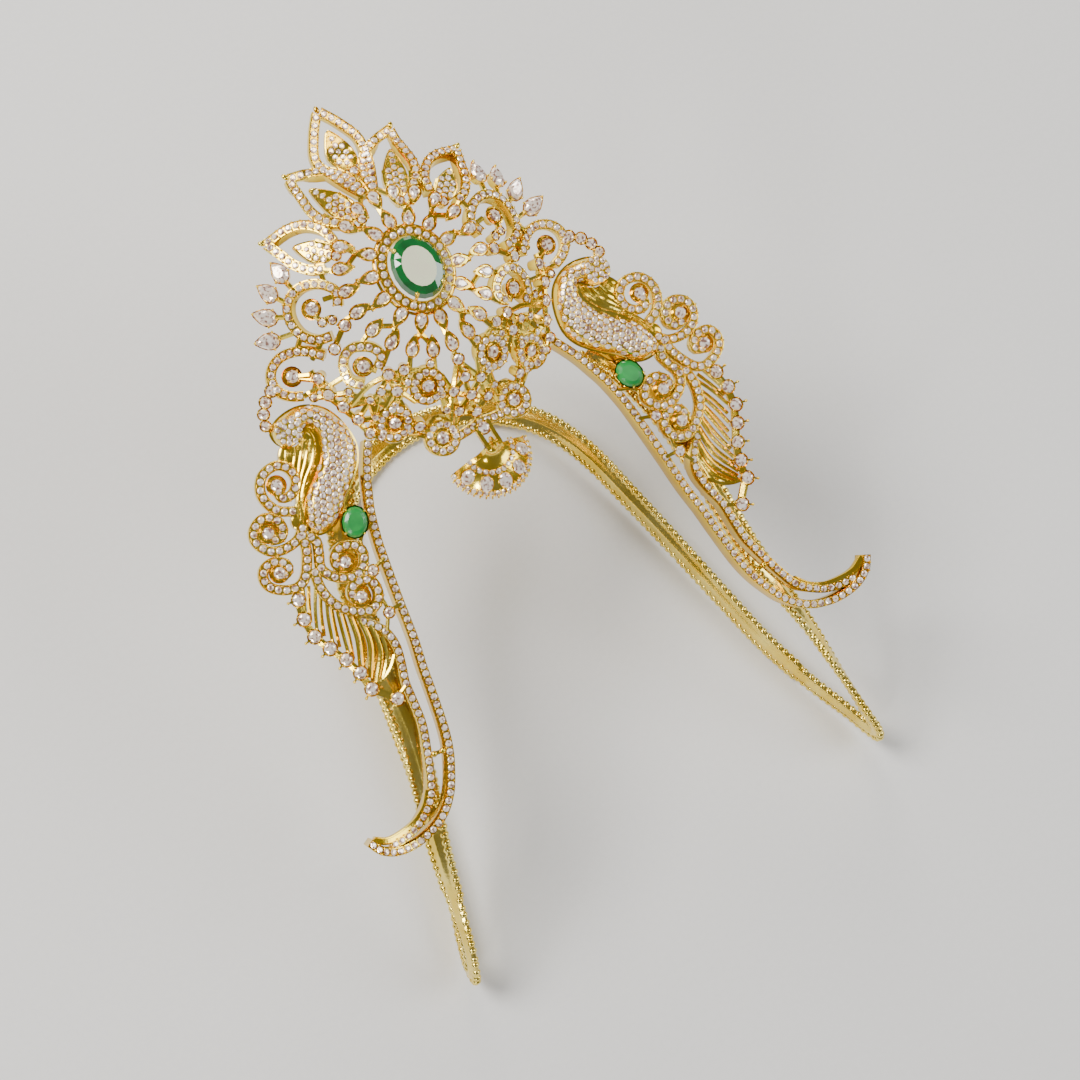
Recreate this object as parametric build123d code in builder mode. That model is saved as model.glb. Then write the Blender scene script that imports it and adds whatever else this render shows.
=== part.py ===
from build123d import *
import os
from math import acos, cos, degrees, atan2, hypot, pi, radians, sin, sqrt

# Vanki armlet: a pierced plaque with a domed crown and two legs, on a rope-edged arm band.
os.makedirs("parts", exist_ok=True)

# Driving dimensions, in millimetres and degrees.
# The plaque is drawn on its own plane: x across, y up the arm to the crest, lift off the face.
plate_slope = 19.1        # the plaque's lean when the armlet lies on a table
plate_y = -37.472         # where the plaque's zero point stands, so that the origin
plate_z = 31.175           # is at the middle of the base
crown_x, crown_y = 0.0, 76.0
crown_r = 38.0            # radius of the crown's dome
crown_top = 9.85          # the dome's height over the plaque
crown_reach = 24.5        # the dome's own radius in plan
metal = 1.8               # thickness of the pierced crown
rail_w = 1.5              # width of a rail that carries one row of stones
wire_w = 0.8
run_length = 2.6          # straight runs that make up a curved rail
pad_sides = 10            # sides of a round pad
seat_sides = 8            # sides of a stone's seat
ring_sides = 22           # sides of the wires that join the ring stones
leg_deep = 4.0            # depth of the leg rails
seat_gap = 0.12           # air between a stone and its seat
ring_y = 77.5             # centre of the stone rings

plate = Plane(origin=(0, plate_y, plate_z), x_dir=(1, 0, 0),
              z_dir=(0, -sin(radians(plate_slope)), cos(radians(plate_slope))))


def dome_lift(x, y):
    """Height of the crown's face over the plaque plane."""
    reach = min(hypot(x - crown_x, y - crown_y), crown_reach)
    return crown_top - crown_r + sqrt(crown_r ** 2 - reach ** 2)


def face_spot(x, y, turn=0.0, lift=0.0):
    """A place on the crown's face, its x axis turned by an angle round the face's normal."""
    dx, dy = x - crown_x, y - crown_y
    reach = hypot(dx, dy)
    lean = 1.0 if reach <= crown_reach else 0.0
    out = Vector(lean * dx / crown_r, lean * dy / crown_r, 1).normalized()
    along = Vector(cos(radians(turn)), sin(radians(turn)), 0)
    along = (along - out * along.dot(out)).normalized()
    spot = Vector(x, y, dome_lift(x, y)) + out * lift
    local = Plane(origin=spot, x_dir=along, z_dir=out)
    return plate * local.location


def both(points):
    """The points of one side, and the same points on the other side."""
    return list(points) + [(-p[0],) + tuple(p[1:]) for p in points]


def ellipse_spots(half_w, half_h, count):
    """Spots at equal steps of angle round an ellipse, with the way out at each."""
    spots = []
    for i in range(count):
        a = 2 * pi * i / count
        x, y = half_w * sin(a), half_h * cos(a)
        out = degrees(atan2(y / half_h ** 2, x / half_w ** 2))
        spots.append((x, ring_y + y, out))
    return spots


# Stones.
# A cut stone's outline is a polygon, drawn as a share of its half length and half width.
round_cut = [(cos(2 * pi * i / 8), sin(2 * pi * i / 8)) for i in range(8)]
oval_cut = [(cos(2 * pi * i / 16), sin(2 * pi * i / 16)) for i in range(16)]
pear_cut = [(1, 0), (0.55, 0.55), (0.0, 0.95), (-0.5, 0.9), (-0.9, 0.45),
            (-0.9, -0.45), (-0.5, -0.9), (0.0, -0.95), (0.55, -0.55)]
# share of the outline, share of the stone's height over the girdle
cut_levels = [(0.15, -0.62), (1.0, -0.06), (1.0, 0.04), (0.62, 0.38)]


def cut_stone(outline, half_l, half_w, high):
    """A faceted stone with a table, standing on its girdle at the origin."""
    with BuildPart() as stone:
        for share, level in cut_levels:
            with BuildSketch(Plane.XY.offset(high * level)):
                with BuildLine():
                    Polyline(*[(share * half_l * u, share * half_w * v) for u, v in outline],
                             close=True)
                make_face()
        loft(ruled=True)
    return stone.part


def save(part, name):
    """Label a finished piece and write it."""
    part.label = name
    export_step(part, f"parts/{name}.step")


def set_stones(name, template, places):
    """One node of small loose stones, the same stone at every place."""
    stones = [template.moved(place) for place in places]
    save(Compound(children=stones), name)


big_oval = (5.1, 4.0, 4.2)          # half length, half width, height
side_oval = (2.6, 2.1, 2.2)
ring_pear = (1.3, 0.9, 1.5)
spike_pear = (1.7, 1.15, 1.8)
ring_lift = 0.5

round_r = 0.85            # girdle radius of the crown's round stones
side_round_r = 0.95       # and of the legs' round stones
green_lift = 1.6          # lift of the large green stone over the crown
halo_r = 0.58             # girdle radius of the halo stones
halo_half = (5.1, 6.2)    # half width and half height of their ellipse
halo_deep = 1.6           # depth of the groove that the halo stones stand in

# The eye that the bell hangs from: a pin between two lugs under the crown's lower edge.
lug_x, lug_t = 1.15, 0.7              # middle and thickness of a lug
lug_y, pin_lift = 46.6, 1.9           # the pin's place, in plaque coordinates
pin_r = 0.4
lug_outline = [(50.9, -0.6), (50.9, 0.8), (48.6, 2.5), (47, 2.6), (45.9, 2.4), (45.9, 1.4),
               (47.6, 1.05), (48.9, -0.4)]     # y, lift
pegs = [(28, 48.6, 0.9), (25, 53.2, 0.9)]     # x, y, radius of the solder pegs on the band's ends

inner_ring = ellipse_spots(7.65, 9.1, 14)
outer_ring = [(x, y, out + 180) for x, y, out in ellipse_spots(11.3, 12.9, 22)]
halo_spots = ellipse_spots(halo_half[0], halo_half[1], 26)


# Arm band.
# x, y, lift, the way the ribbon's face looks, in degrees from straight down; from the back's
# middle to the end under one leg
band_path = [
    (0, 53.5, -50, 0), (8, 52.3, -49.6, 8), (16, 48.8, -47.5, 20), (22, 42.8, -44, 35),
    (25.8, 34.5, -40.5, 47), (28.6, 22.5, -36.9, 57), (30.9, 11.2, -33.2, 62),
    (33.2, -0.7, -29.5, 66), (35.3, -11, -26.2, 70), (38.2, -20.5, -22.8, 75),
    (40.9, -27.5, -19.9, 82), (42.2, -31.4, -18.2, 86), (42.6, -33, -15.8, 90),
    (42.3, -31.4, -13.4, 94), (41.3, -27, -11.8, 100), (39.6, -17, -9.8, 115),
    (38, -8, -8.2, 130), (36, 0, -6.9, 145), (34.2, 8.5, -6, 158), (33.2, 17, -5.5, 165),
    (32.4, 26, -5.2, 167), (31, 36, -5, 170), (28, 46, -4.7, 172), (24, 53.5, -4.4, 175)]
band_w = 5.2              # width over the two rope edges
turn_w = 4.2              # width where the band turns back at the elbow
rope_r = 0.8              # radius of a rope edge
web_t = 0.9               # thickness of the polished middle


def band_outline(width):
    """Half the ribbon's outline, as share of the width direction and of the facing direction."""
    edge = width / 2 - rope_r
    side = [(0, web_t / 2 + 0.25), (edge - rope_r * 0.8, web_t / 2)]
    side += [(edge + rope_r * cos(radians(a)), rope_r * sin(radians(a))) for a in (120, 60, 0)]
    right = side + [(u, -v) for u, v in reversed(side[:-1])]
    return right + [(-u, v) for u, v in reversed(right[1:-1])]


def band_section(i):
    """The ribbon's section at a row of band_path, as a closed wire."""
    here = Vector(*band_path[i][:3])
    before = Vector(*band_path[i - 1][:3]) if i else Vector(-here.X - 1, here.Y, here.Z)
    after = Vector(*band_path[min(i + 1, len(band_path) - 1)][:3])
    along = (here - before).normalized()
    if (after - here).length:
        along = (along + (after - here).normalized()).normalized()
    if i == 0:
        along = Vector(1, 0, 0)
    angle = radians(band_path[i][3])
    out = Vector(sin(angle), 0, -cos(angle))
    out = (out - along * out.dot(along)).normalized()
    across = out.cross(along)
    width = turn_w if 10 <= i <= 14 else band_w
    corners = [here + across * u + out * v for u, v in band_outline(width)]
    return Wire.make_polygon([plate.from_local_coords(c) for c in corners], close=True)


with BuildPart() as arm_band:
    add(Solid.make_loft([band_section(i) for i in range(len(band_path))], True))
    mirror(about=Plane.YZ)
save(arm_band.part, "arm_band")
print("arm band", arm_band.part.volume, arm_band.part.bounding_box())


# Crown.
# width of the stroke, its points from end to end, right side
crown_strokes = [
    (rail_w, [(0, 108.2), (2.3, 104.8), (4.0, 101), (3.2, 97.2), (0.6, 91.6)]),
    (rail_w, [(9.2, 99.9), (5.4, 99.3), (2.9, 97.7), (1.3, 95.2), (1.4, 92)]),
    (rail_w, [(9.2, 99.9), (9.4, 96.4), (9.5, 93.6), (8.6, 91.4), (6.4, 90.2)]),
    (rail_w, [(17.8, 92), (14.5, 92.9), (11.8, 92.3), (9.9, 90.3), (9.1, 88)]),
    (rail_w, [(17.8, 92), (17, 89.8), (16.2, 87.4), (14.6, 85.6), (12.4, 84.6)]),
    (rail_w, [(15.2, 77), (13.4, 78.6), (13.2, 80.8), (14.8, 82.6), (16.9, 83.3), (18.9, 82.9),
              (20.3, 81.2), (20.8, 79.0), (20.3, 76.6), (18.6, 74.9), (16.4, 74.4), (14.6, 74.8)]),
    (rail_w, [(21.9, 70.4), (20.3, 71.8), (21, 73.7), (22.6, 74.8), (24.7, 75), (26.6, 74.2),
              (27.6, 72.5), (27.4, 70.4), (26, 68.7), (24.2, 67.8)]),
    (rail_w, [(12.6, 66), (11.3, 67.3), (11.7, 69.4), (13.3, 70.5), (15.2, 70.7), (16.7, 69.6),
              (17.2, 67.6), (16.4, 65.6), (14.8, 64.4)]),
    (wire_w, [(17.9, 82.4), (18.8, 87.3)]),
    (wire_w, [(19.4, 81.6), (21.8, 85.3)]),
    (wire_w, [(20.3, 80), (23.9, 82)]),
    (wire_w, [(20.4, 77.4), (25.4, 78.3)]),
    (wire_w, [(13.6, 82.3), (13.1, 84.8)]),
    (wire_w, [(20.5, 76.6), (22.4, 74.4)]),
    (wire_w, [(20.6, 72.4), (17.6, 74.6)]),
    (rail_w, [(20.4, 71.6), (20.2, 68.6), (19.6, 65.4), (18.2, 62.4), (17.8, 59.4), (17.8, 57.3)]),
    (wire_w, [(20.1, 68), (24.2, 67.8)]),
    (wire_w, [(17, 67.6), (20, 67.4)]),
    (wire_w, [(6.2, 62.9), (9, 64), (11.3, 64.5), (14.8, 64.4), (18.3, 63)]),
    (wire_w, [(8.8, 58.6), (11.1, 61.5), (13.6, 60)]),
    (wire_w, [(0, 61.5), (2.6, 57.1), (4.4, 52.6)]),
    (wire_w, [(3.4, 60.6), (2.6, 57.1)]),
    (wire_w, [(9.4, 52.8), (11.4, 54.6)]),
    (rail_w, [(0, 50.6), (2.6, 50.2), (4.6, 50.2)]),
    (wire_w, [(0, 61.5), (0, 49.4)]),
    (wire_w, [(17.3, 79.6), (16.8, 77.4), (15.2, 77)]),
    (wire_w, [(24.4, 71.5), (21.9, 70.4)]),
    (wire_w, [(14.3, 67.6), (12.6, 66)]),
    (wire_w, [(6.9, 51.2), (9.7, 54.6), (13.2, 57)]),
]
# x, y, radius of the round pads that carry one stone or a small cluster
crown_pads = [
    (17.3, 79.6, 1.7), (24.4, 71.5, 1.9), (14.3, 67.6, 1.7), (6.2, 59.9, 2.9), (13.2, 57, 2.9),
    (6.9, 51.2, 2.9), (19.9, 69, 1.2), (20.1, 66.1, 1.2), (18.5, 63.4, 1.2), (11.3, 64.5, 1.2),
    (8.8, 64.0, 1.2), (11.1, 61.5, 1.2), (9.7, 54.6, 1.2), (2.6, 57.1, 1.2), (2.8, 53.8, 1.2),
    (14.1, 74.8, 1.2)]
centre_pads = [(0, 61.5, 1.2), (0, 58.4, 1.2), (0, 55.3, 1.2), (0, 52.3, 1.2), (0, 49.4, 1.2)]
# x, y, half length, half width, turn of the small leaves inside the large ones
crown_leaves = [(0, 99.2, 4.8, 1.7, 90), (4.3, 94, 3.7, 1.7, 70), (11.6, 88.2, 2.9, 1.7, 48)]
# x, y, turn of the pear stones at the rim
spike_spots = [(18.8, 87.3, 71), (21.8, 85.3, 54), (23.9, 82, 40), (25.4, 78.3, 18)]


def stroke(width, points):
    """A rail or wire of even width along a smooth line in short straight runs, in the open sketch."""
    with BuildLine() as line:
        if len(points) > 2:
            curve = Spline(*points, mode=Mode.PRIVATE)
            runs = max(2, round(curve.length / run_length))
            Polyline(*[curve @ (i / runs) for i in range(runs + 1)])
        else:
            Line(*points)
    trace(line.edges(), width)


def ring_of(half_w, half_h, width):
    """A flat elliptical ring about the ring centre, in the sketch that is open."""
    middle = [(0, ring_y, 0)]
    seats(middle, half_w + width / 2, half_h + width / 2, ring_sides)
    seats(middle, half_w - width / 2, half_h - width / 2, ring_sides, Mode.SUBTRACT)


def radial_wires(rows, start_share, end_share):
    """Thin wires that run out through every seat of a ring, in the sketch that is open."""
    for x, y, out in rows:
        near = (x * start_share, ring_y + (y - ring_y) * start_share)
        far = (x * end_share, ring_y + (y - ring_y) * end_share)
        stroke(wire_w, [near, far])


def seats(places, half_l, half_w, sides=pad_sides, mode=Mode.ADD):
    """Oval pads, or their holes, at x, y and turn, in the open sketch."""
    corners = [(half_l * cos(2 * pi * i / sides), half_w * sin(2 * pi * i / sides))
               for i in range(sides)]
    with Locations(*[Location((x, y, 0), (0, 0, turn)) for x, y, turn in places]):
        Polygon(*corners, align=None, mode=mode)


def pads(rows):
    """Round pads at x, y with their own radius, in the open sketch."""
    for x, y, r in rows:
        seats([(x, y, 0)], r, r)


def round_holes(spots, r):
    """Round seats at x, y, cut through the open sketch."""
    seats([(x, y, 0) for x, y in spots], r, r, seat_sides, Mode.SUBTRACT)


def cut_seats(places, stone):
    """The holes that pear stones sit in, in the open sketch."""
    half_l, half_w, _ = stone
    seats(places, half_l + seat_gap, half_w + 2 * seat_gap, pad_sides, Mode.SUBTRACT)


def dome_shell():
    """The room that the crown's metal may fill: a wall that follows the dome, then a flat one."""
    rim_lift = dome_lift(crown_x + crown_reach, crown_y)
    centre_lift = crown_top - crown_r
    inner_reach = sqrt((crown_r - metal) ** 2 - (rim_lift - metal - centre_lift) ** 2)
    outer_turn = degrees(acos(crown_reach / crown_r))
    inner_turn = degrees(acos(inner_reach / (crown_r - metal)))
    wide = 60
    turning = Plane(plate.from_local_coords(Vector(crown_x, crown_y, 0)),
                    x_dir=plate.x_dir, z_dir=-plate.y_dir)
    with BuildPart() as shell:
        with BuildSketch(turning):
            with BuildLine():
                CenterArc((0, centre_lift), crown_r, outer_turn, 90 - outer_turn)
                Polyline((crown_reach, rim_lift), (wide, rim_lift), (wide, rim_lift - metal),
                         (inner_reach, rim_lift - metal))
                CenterArc((0, centre_lift), crown_r - metal, inner_turn, 90 - inner_turn)
                Line((0, crown_top - metal), (0, crown_top))
            make_face()
        revolve(axis=Axis(turning.origin, plate.z_dir))
    return shell.part


def lug_plane(x):
    """A plane across the plaque at x, with the plaque's y and lift as its own axes."""
    return Plane(plate.from_local_coords(Vector(x, 0, 0)), x_dir=plate.y_dir, z_dir=plate.x_dir)


spike_turns = list(spike_spots) + [(-x, y, 180 - turn) for x, y, turn in spike_spots]
round_spots = both([(x, y) for x, y, r in crown_pads]) + [(x, y) for x, y, r in centre_pads]
crown_room = dome_shell()

with BuildPart() as crest_frame:
    with BuildSketch(plate.offset(-2)):
        for width, points in crown_strokes:
            stroke(width, points)
        pads(crown_pads)
        for x, y, long_half, wide_half, turn in crown_leaves:
            seats([(x, y, turn)], long_half, wide_half)
        mirror(about=Plane.YZ)
        seats(spike_turns, 2.3, 1.75)
        pads(centre_pads)
        ring_of(7.65, 9.1, wire_w)
        ring_of(11.3, 12.9, wire_w)
        radial_wires(inner_ring, 0.7, 1.2)
        radial_wires(outer_ring, 0.72, 1.34)
        seats(inner_ring + outer_ring, ring_pear[0] + 0.65, ring_pear[1] + 0.55)
        seats([(0, ring_y, 90)], 7.15, 6.1, ring_sides)
        seats([(0, ring_y, 90)], big_oval[0] + seat_gap, big_oval[1] + seat_gap, 16, Mode.SUBTRACT)
        cut_seats(inner_ring + outer_ring, ring_pear)
        cut_seats(spike_turns, spike_pear)
        round_holes(round_spots, round_r + seat_gap)
    extrude(amount=crown_top + 4)
    add(crown_room, mode=Mode.INTERSECT)
    with BuildSketch(plate.offset(crown_top - halo_deep)):
        ring_of(*halo_half, 2 * (halo_r + seat_gap))
    extrude(amount=3, mode=Mode.SUBTRACT)
    for side in (-1, 1):
        with BuildSketch(lug_plane(side * lug_x - lug_t / 2)):
            with BuildLine():
                Polyline(*lug_outline, close=True)
            make_face()
        extrude(amount=lug_t)
    with BuildSketch(lug_plane(-lug_x)):
        with Locations((lug_y, pin_lift)):
            Circle(pin_r)
    extrude(amount=2 * lug_x)
save(crest_frame.part, "crest_frame")
print("crest solids", [round(s.volume, 1) for s in crest_frame.part.solids()])


# Stones of the crown.
with BuildPart() as green_oval:
    add(cut_stone(oval_cut, *big_oval).moved(face_spot(0, ring_y, 90, green_lift)))
save(green_oval.part, "green_oval")

small_pear = cut_stone(pear_cut, *ring_pear)
for i, (x, y, out) in enumerate(inner_ring + outer_ring):
    save(small_pear.moved(face_spot(x, y, out, ring_lift)), f"crest_pear_{i + 1:02d}")

small_round = cut_stone(round_cut, round_r, round_r, 1.2)
halo_stone = cut_stone(round_cut, halo_r, halo_r, 0.9)
rim_pear = cut_stone(pear_cut, *spike_pear)
halo_places = [face_spot(x, y, out, -0.05) for x, y, out in halo_spots]
set_stones("halo_stones", halo_stone, halo_places)
set_stones("crest_round_stones", small_round,
           [face_spot(x, y, 0, ring_lift) for x, y in round_spots])
set_stones("spike_stones", rim_pear,
           [face_spot(x, y, turn, ring_lift) for x, y, turn in spike_turns])


# Legs.
# the deep rails of the right leg: width, points from the crown to the hook
leg_rails = [
    (1.3, [(18.1, 56.6), (19.6, 54.2), (20.9, 51.8), (22.1, 49), (23.2, 46.2), (24.4, 41.5),
           (25.2, 36.5), (26.1, 30), (26.8, 24.3), (27.7, 19.5), (28.3, 15.3), (29.3, 9.2),
           (30.3, 5.5), (31.6, 2.5), (33.5, -0.8), (36, -3.3), (39, -4.8), (42.6, -5.4),
           (46, -4.6), (48.4, -2.6), (49.8, -0.2)]),
    (1.3, [(34.4, 32.9), (32.5, 30.8), (30.6, 28), (30, 24.8), (30.6, 21.8), (31.5, 18.7),
           (31.8, 15.8), (32.3, 11.4), (33.7, 7), (35.4, 2.6), (37, -0.2), (40, -2.5),
           (43, -3.4), (46, -3.4), (48, -2.2)]),
    (0.9, [(29.8, 5.2), (35, 6.2)]),
    (1.2, [(47.4, -3.4), (49.9, 0.2)]),
]
# the thin scrolls and wires of the right leg: width, points
leg_scrolls = [
    (rail_w, [(35.1, 57.1), (33.9, 55.3), (31.9, 55.9), (31.2, 57.7), (32.3, 59.5), (34.5, 60),
              (36.6, 59.2), (37.6, 57.2), (37, 54.9), (35.2, 53), (33, 51.8)]),
    (rail_w, [(40, 50.2), (38.7, 49.4), (37.3, 50.2), (36.9, 52), (38.2, 53.5), (40.4, 53.2),
              (41.9, 51.6), (41.6, 49.6), (40, 48), (37.6, 47.3), (35, 48), (33.4, 49.2)]),
    (rail_w, [(41.3, 43.8), (39.8, 43.6), (38.7, 44.8), (39.3, 46.4), (41.4, 46.8), (43.2, 45.6),
              (43.2, 43.4), (41.4, 41.6), (39, 41.2), (36.8, 42.9), (34.9, 45.6), (33.4, 47.6)]),
    (rail_w, [(31.1, 40.9), (32.4, 41.9), (31.2, 43.3), (29, 43), (27.6, 40.9), (28.6, 38.9),
              (31.2, 38.1), (33.8, 39.2), (35, 41.6), (34.6, 43.8), (33.3, 46)]),
    (rail_w, [(31.8, 35), (32.4, 36.2), (30.9, 37.1), (29, 36.2), (28.6, 34.2), (30, 32.4),
              (32.4, 32.1), (34.6, 33.6), (36, 36), (36.4, 39), (35.9, 42.3)]),
    (wire_w, [(27.7, 37.5), (24.9, 38.4)]),
    (wire_w, [(28.6, 34.2), (28.6, 30.6), (30.2, 27.2)]),
    (wire_w, [(28.6, 30.6), (26, 30.4)]),
    (wire_w, [(27.6, 40.9), (26.7, 45.9), (23.4, 46.2)]),
    (wire_w, [(40.8, 39.1), (36.1, 42)]),
    (wire_w, [(41.5, 35.9), (37.8, 37), (36.4, 39.4)]),
    (wire_w, [(41.3, 32.6), (38, 34.6), (36.4, 37.4)]),
    (wire_w, [(40, 29.7), (37.2, 31.8), (35.4, 34.8)]),
    (wire_w, [(38.5, 26.8), (36, 29), (34.6, 32.8)]),
    (wire_w, [(37.5, 23.8), (34.8, 26), (33.2, 31.2)]),
    (wire_w, [(37.1, 20.6), (33.6, 22.2), (31.2, 28.6)]),
    (wire_w, [(34.1, 17.1), (31.6, 18.4)]),
    (wire_w, [(31, 65.2), (31.6, 68), (29, 70.7)]),
]
# x, y, pad radius; every pad carries one round stone
leg_pads = [
    (35.1, 57.1, 1.5), (40, 50.2, 1.5), (41.2, 43.8, 1.5), (31.1, 40.9, 1.5), (31.8, 35, 1.5),
    (27.7, 37.5, 1.2), (28.6, 30.6, 1.2), (40.8, 39.1, 1.4), (41.5, 35.9, 1.4),
    (41.3, 32.6, 1.4), (40, 29.7, 1.4), (38.5, 26.8, 1.4), (37.5, 23.8, 1.4), (37.1, 20.6, 1.4),
    (34.1, 17.1, 1.4)]
side_stone_at = (26.7, 45.9, 118)     # x, y, turn
# the bird's body and curled neck, as one outline
bird_outline = [
    (30.1, 66.6), (27.4, 67.1), (24.8, 66.7), (22.4, 65.2), (20.9, 63), (20.1, 60.3), (19.9, 57.9),
    (20.3, 55.9), (21.3, 54.1), (22.8, 52.5), (24.6, 50.9), (26.2, 49.9), (27.8, 48.6),
    (29.3, 47.6), (31.6, 47.4), (33.2, 48.2), (33.6, 50), (33.1, 51.9), (32, 53.6), (30.3, 55.2),
    (28.6, 56.5), (27.1, 58), (26.1, 60), (25.8, 61.8), (26.2, 63.2), (27.6, 62.2), (29.2, 61.5),
    (31, 61.9), (32.1, 63.4), (32, 65.3)]
bird_base, bird_top = 0.25, 3.2       # lift of the bird's lower and upper face
base_top = 0.1                        # lift of the plate that backs the bird
rail_top = 0.2
hook_rise = [(10, rail_top), (40, rail_top), (45, 1.0), (51, 3.2), (51, -0.6), (45, -2.4),
             (40, rail_top - leg_deep), (10, rail_top - leg_deep)]     # x, lift


def bird_face(grow):
    """The bird's outline, grown by a margin, in the sketch that is open."""
    with BuildLine() as outline:
        Polyline(*bird_outline, close=True)
    make_face(outline.edges())
    if grow:
        offset(amount=grow, kind=Kind.INTERSECTION)


def leg_rail_metal():
    """The deep rails, with the rise of the hook."""
    with BuildPart() as rails:
        with BuildSketch(plate.offset(-6)):
            for width, points in leg_rails:
                stroke(width, points)
        extrude(amount=12)
        with BuildSketch(Plane(plate.from_local_coords(Vector(0, 80, 0)), x_dir=plate.x_dir,
                               z_dir=-plate.y_dir)):
            with BuildLine():
                Polyline(*hook_rise, close=True)
            make_face()
        extrude(amount=110, mode=Mode.INTERSECT)
    return rails.part


rail_metal = leg_rail_metal()

with BuildPart() as side_frame_right:
    with BuildSketch(plate.offset(-0.9)):
        for width, points in leg_scrolls:
            stroke(width, points)
        pads(leg_pads)
        seats([side_stone_at], side_oval[0] + 0.6, side_oval[1] + 0.6)
    extrude(amount=1.7)
    add(rail_metal)
    with BuildSketch(plate.offset(base_top)):
        bird_face(0.2)
    extrude(amount=4, mode=Mode.SUBTRACT)
    with BuildSketch(plate.offset(base_top)):
        bird_face(0)
    extrude(amount=-1.4)
    with BuildSketch(plate.offset(-3.5)):
        pads(pegs)
    extrude(amount=3)
    with BuildSketch(plate.offset(-6)):
        seats([side_stone_at], side_oval[0] + seat_gap, side_oval[1] + seat_gap, 16)
        seats([(x, y, 0) for x, y, r in leg_pads], side_round_r + seat_gap,
              side_round_r + seat_gap, seat_sides)
    extrude(amount=12, mode=Mode.SUBTRACT)
save(side_frame_right.part, "side_frame_right")
print("leg solids", [round(s.volume, 1) for s in side_frame_right.part.solids()])
side_frame_left = side_frame_right.part.mirror(Plane.YZ)
save(side_frame_left, "side_frame_left")

with BuildPart() as peacock_right:
    with BuildSketch(plate.offset(bird_base)):
        bird_face(0)
    extrude(amount=bird_top - bird_base)
    chamfer(peacock_right.faces().sort_by(Axis(plate.origin, plate.z_dir))[-1].edges(), 0.9)
save(peacock_right.part, "peacock_right")
save(peacock_right.part.mirror(Plane.YZ), "peacock_left")


# Stones of the legs.
side_stone = cut_stone(round_cut, side_round_r, side_round_r, 1.3)
green_small = cut_stone(oval_cut, *side_oval)
for name, side in (("right", 1), ("left", -1)):
    x, y, turn = side_stone_at
    place = plate * Location((side * x, y, 1.1), (0, 0, turn if side > 0 else 180 - turn))
    save(green_small.moved(place), f"green_side_{name}")
    set_stones(f"side_stones_{name}", side_stone,
               [plate * Location((side * x, y, 0.9)) for x, y, r in leg_pads])


# Bell: half a bell with a flat back, which hangs upright from the eye.
bell_r = 7.3              # outer radius of the rim
bell_wall = 0.8
bell_high = 5.6           # from the rim to the neck
neck_r = 1.2
rim_high = 2.4            # height of the rim's stone band
bell_drop_z = 8.0         # from the rim's plane up to the eye's pin
bell_forward = 0.6        # the pin stands this far in front of the flat back
bail_r, bail_wire = 0.95, 0.3
eye = plate.from_local_coords(Vector(0, lug_y, pin_lift))
bell_x, bell_y, bell_z = 0, eye.Y + bell_forward, eye.Z - bell_drop_z
bell_stone_turns = (-68, -34, 0, 34, 68)
bell_oval = (1.25, 0.95, 1.3)         # half length, half width, height


def bell_stone_plane(turn):
    """The plane of a stone on the rim, looking straight out."""
    a = radians(turn)
    spot = (bell_x + (bell_r + 0.2) * sin(a), bell_y - (bell_r + 0.2) * cos(a),
            bell_z + rim_high / 2)
    return Plane(spot, x_dir=(0, 0, 1), z_dir=(sin(a), -cos(a), 0))


bell_axis = Plane((bell_x, bell_y, bell_z), x_dir=(1, 0, 0), z_dir=(0, -1, 0))
with BuildPart() as bell_drop:
    with BuildSketch(bell_axis):
        with BuildLine():
            Polyline((bell_r - bell_wall, 0), (bell_r, 0), (bell_r, rim_high))
            ThreePointArc((bell_r, rim_high), (3.4, 3.6), (neck_r, bell_high))
            Polyline((neck_r, bell_high), (0, bell_high), (0, bell_high - bell_wall))
            ThreePointArc((0, bell_high - bell_wall), (3.0, 2.9), (bell_r - bell_wall, rim_high - 0.6))
            Line((bell_r - bell_wall, rim_high - 0.6), (bell_r - bell_wall, 0))
        make_face()
    revolve(axis=Axis(bell_axis.origin, (0, 0, 1)), revolution_arc=-180)
    with BuildSketch(bell_axis):
        with BuildLine():
            Polyline((-bell_r, 0), (bell_r, 0), (bell_r, rim_high))
            ThreePointArc((bell_r, rim_high), (3.4, 3.6), (neck_r, bell_high))
            Line((neck_r, bell_high), (-neck_r, bell_high))
            ThreePointArc((-neck_r, bell_high), (-3.4, 3.6), (-bell_r, rim_high))
            Line((-bell_r, rim_high), (-bell_r, 0))
        make_face()
    extrude(amount=bell_wall)
    for turn in bell_stone_turns:
        with BuildSketch(bell_stone_plane(turn).offset(-3)):
            Ellipse(bell_oval[0] + seat_gap, bell_oval[1] + seat_gap)
        extrude(amount=5, mode=Mode.SUBTRACT)
    with Locations((bell_x, eye.Y, bell_z + bell_high)):
        Sphere(neck_r)
    with BuildSketch(Plane.XY.move(Location((bell_x, eye.Y, bell_z + bell_high)))):
        Circle(0.45)
    extrude(amount=bell_drop_z - bell_high - bail_r)
    with Locations(Location(eye, (0, 90, 0))):
        Torus(bail_r, bail_wire)
save(bell_drop.part, "bell_drop")
print("bell solids", [round(s.volume, 1) for s in bell_drop.part.solids()])
set_stones("bell_stones", cut_stone(oval_cut, *bell_oval),
           [bell_stone_plane(turn).location for turn in bell_stone_turns])
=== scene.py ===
import bpy
import bmesh
import math
from mathutils import Matrix, Vector


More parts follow.
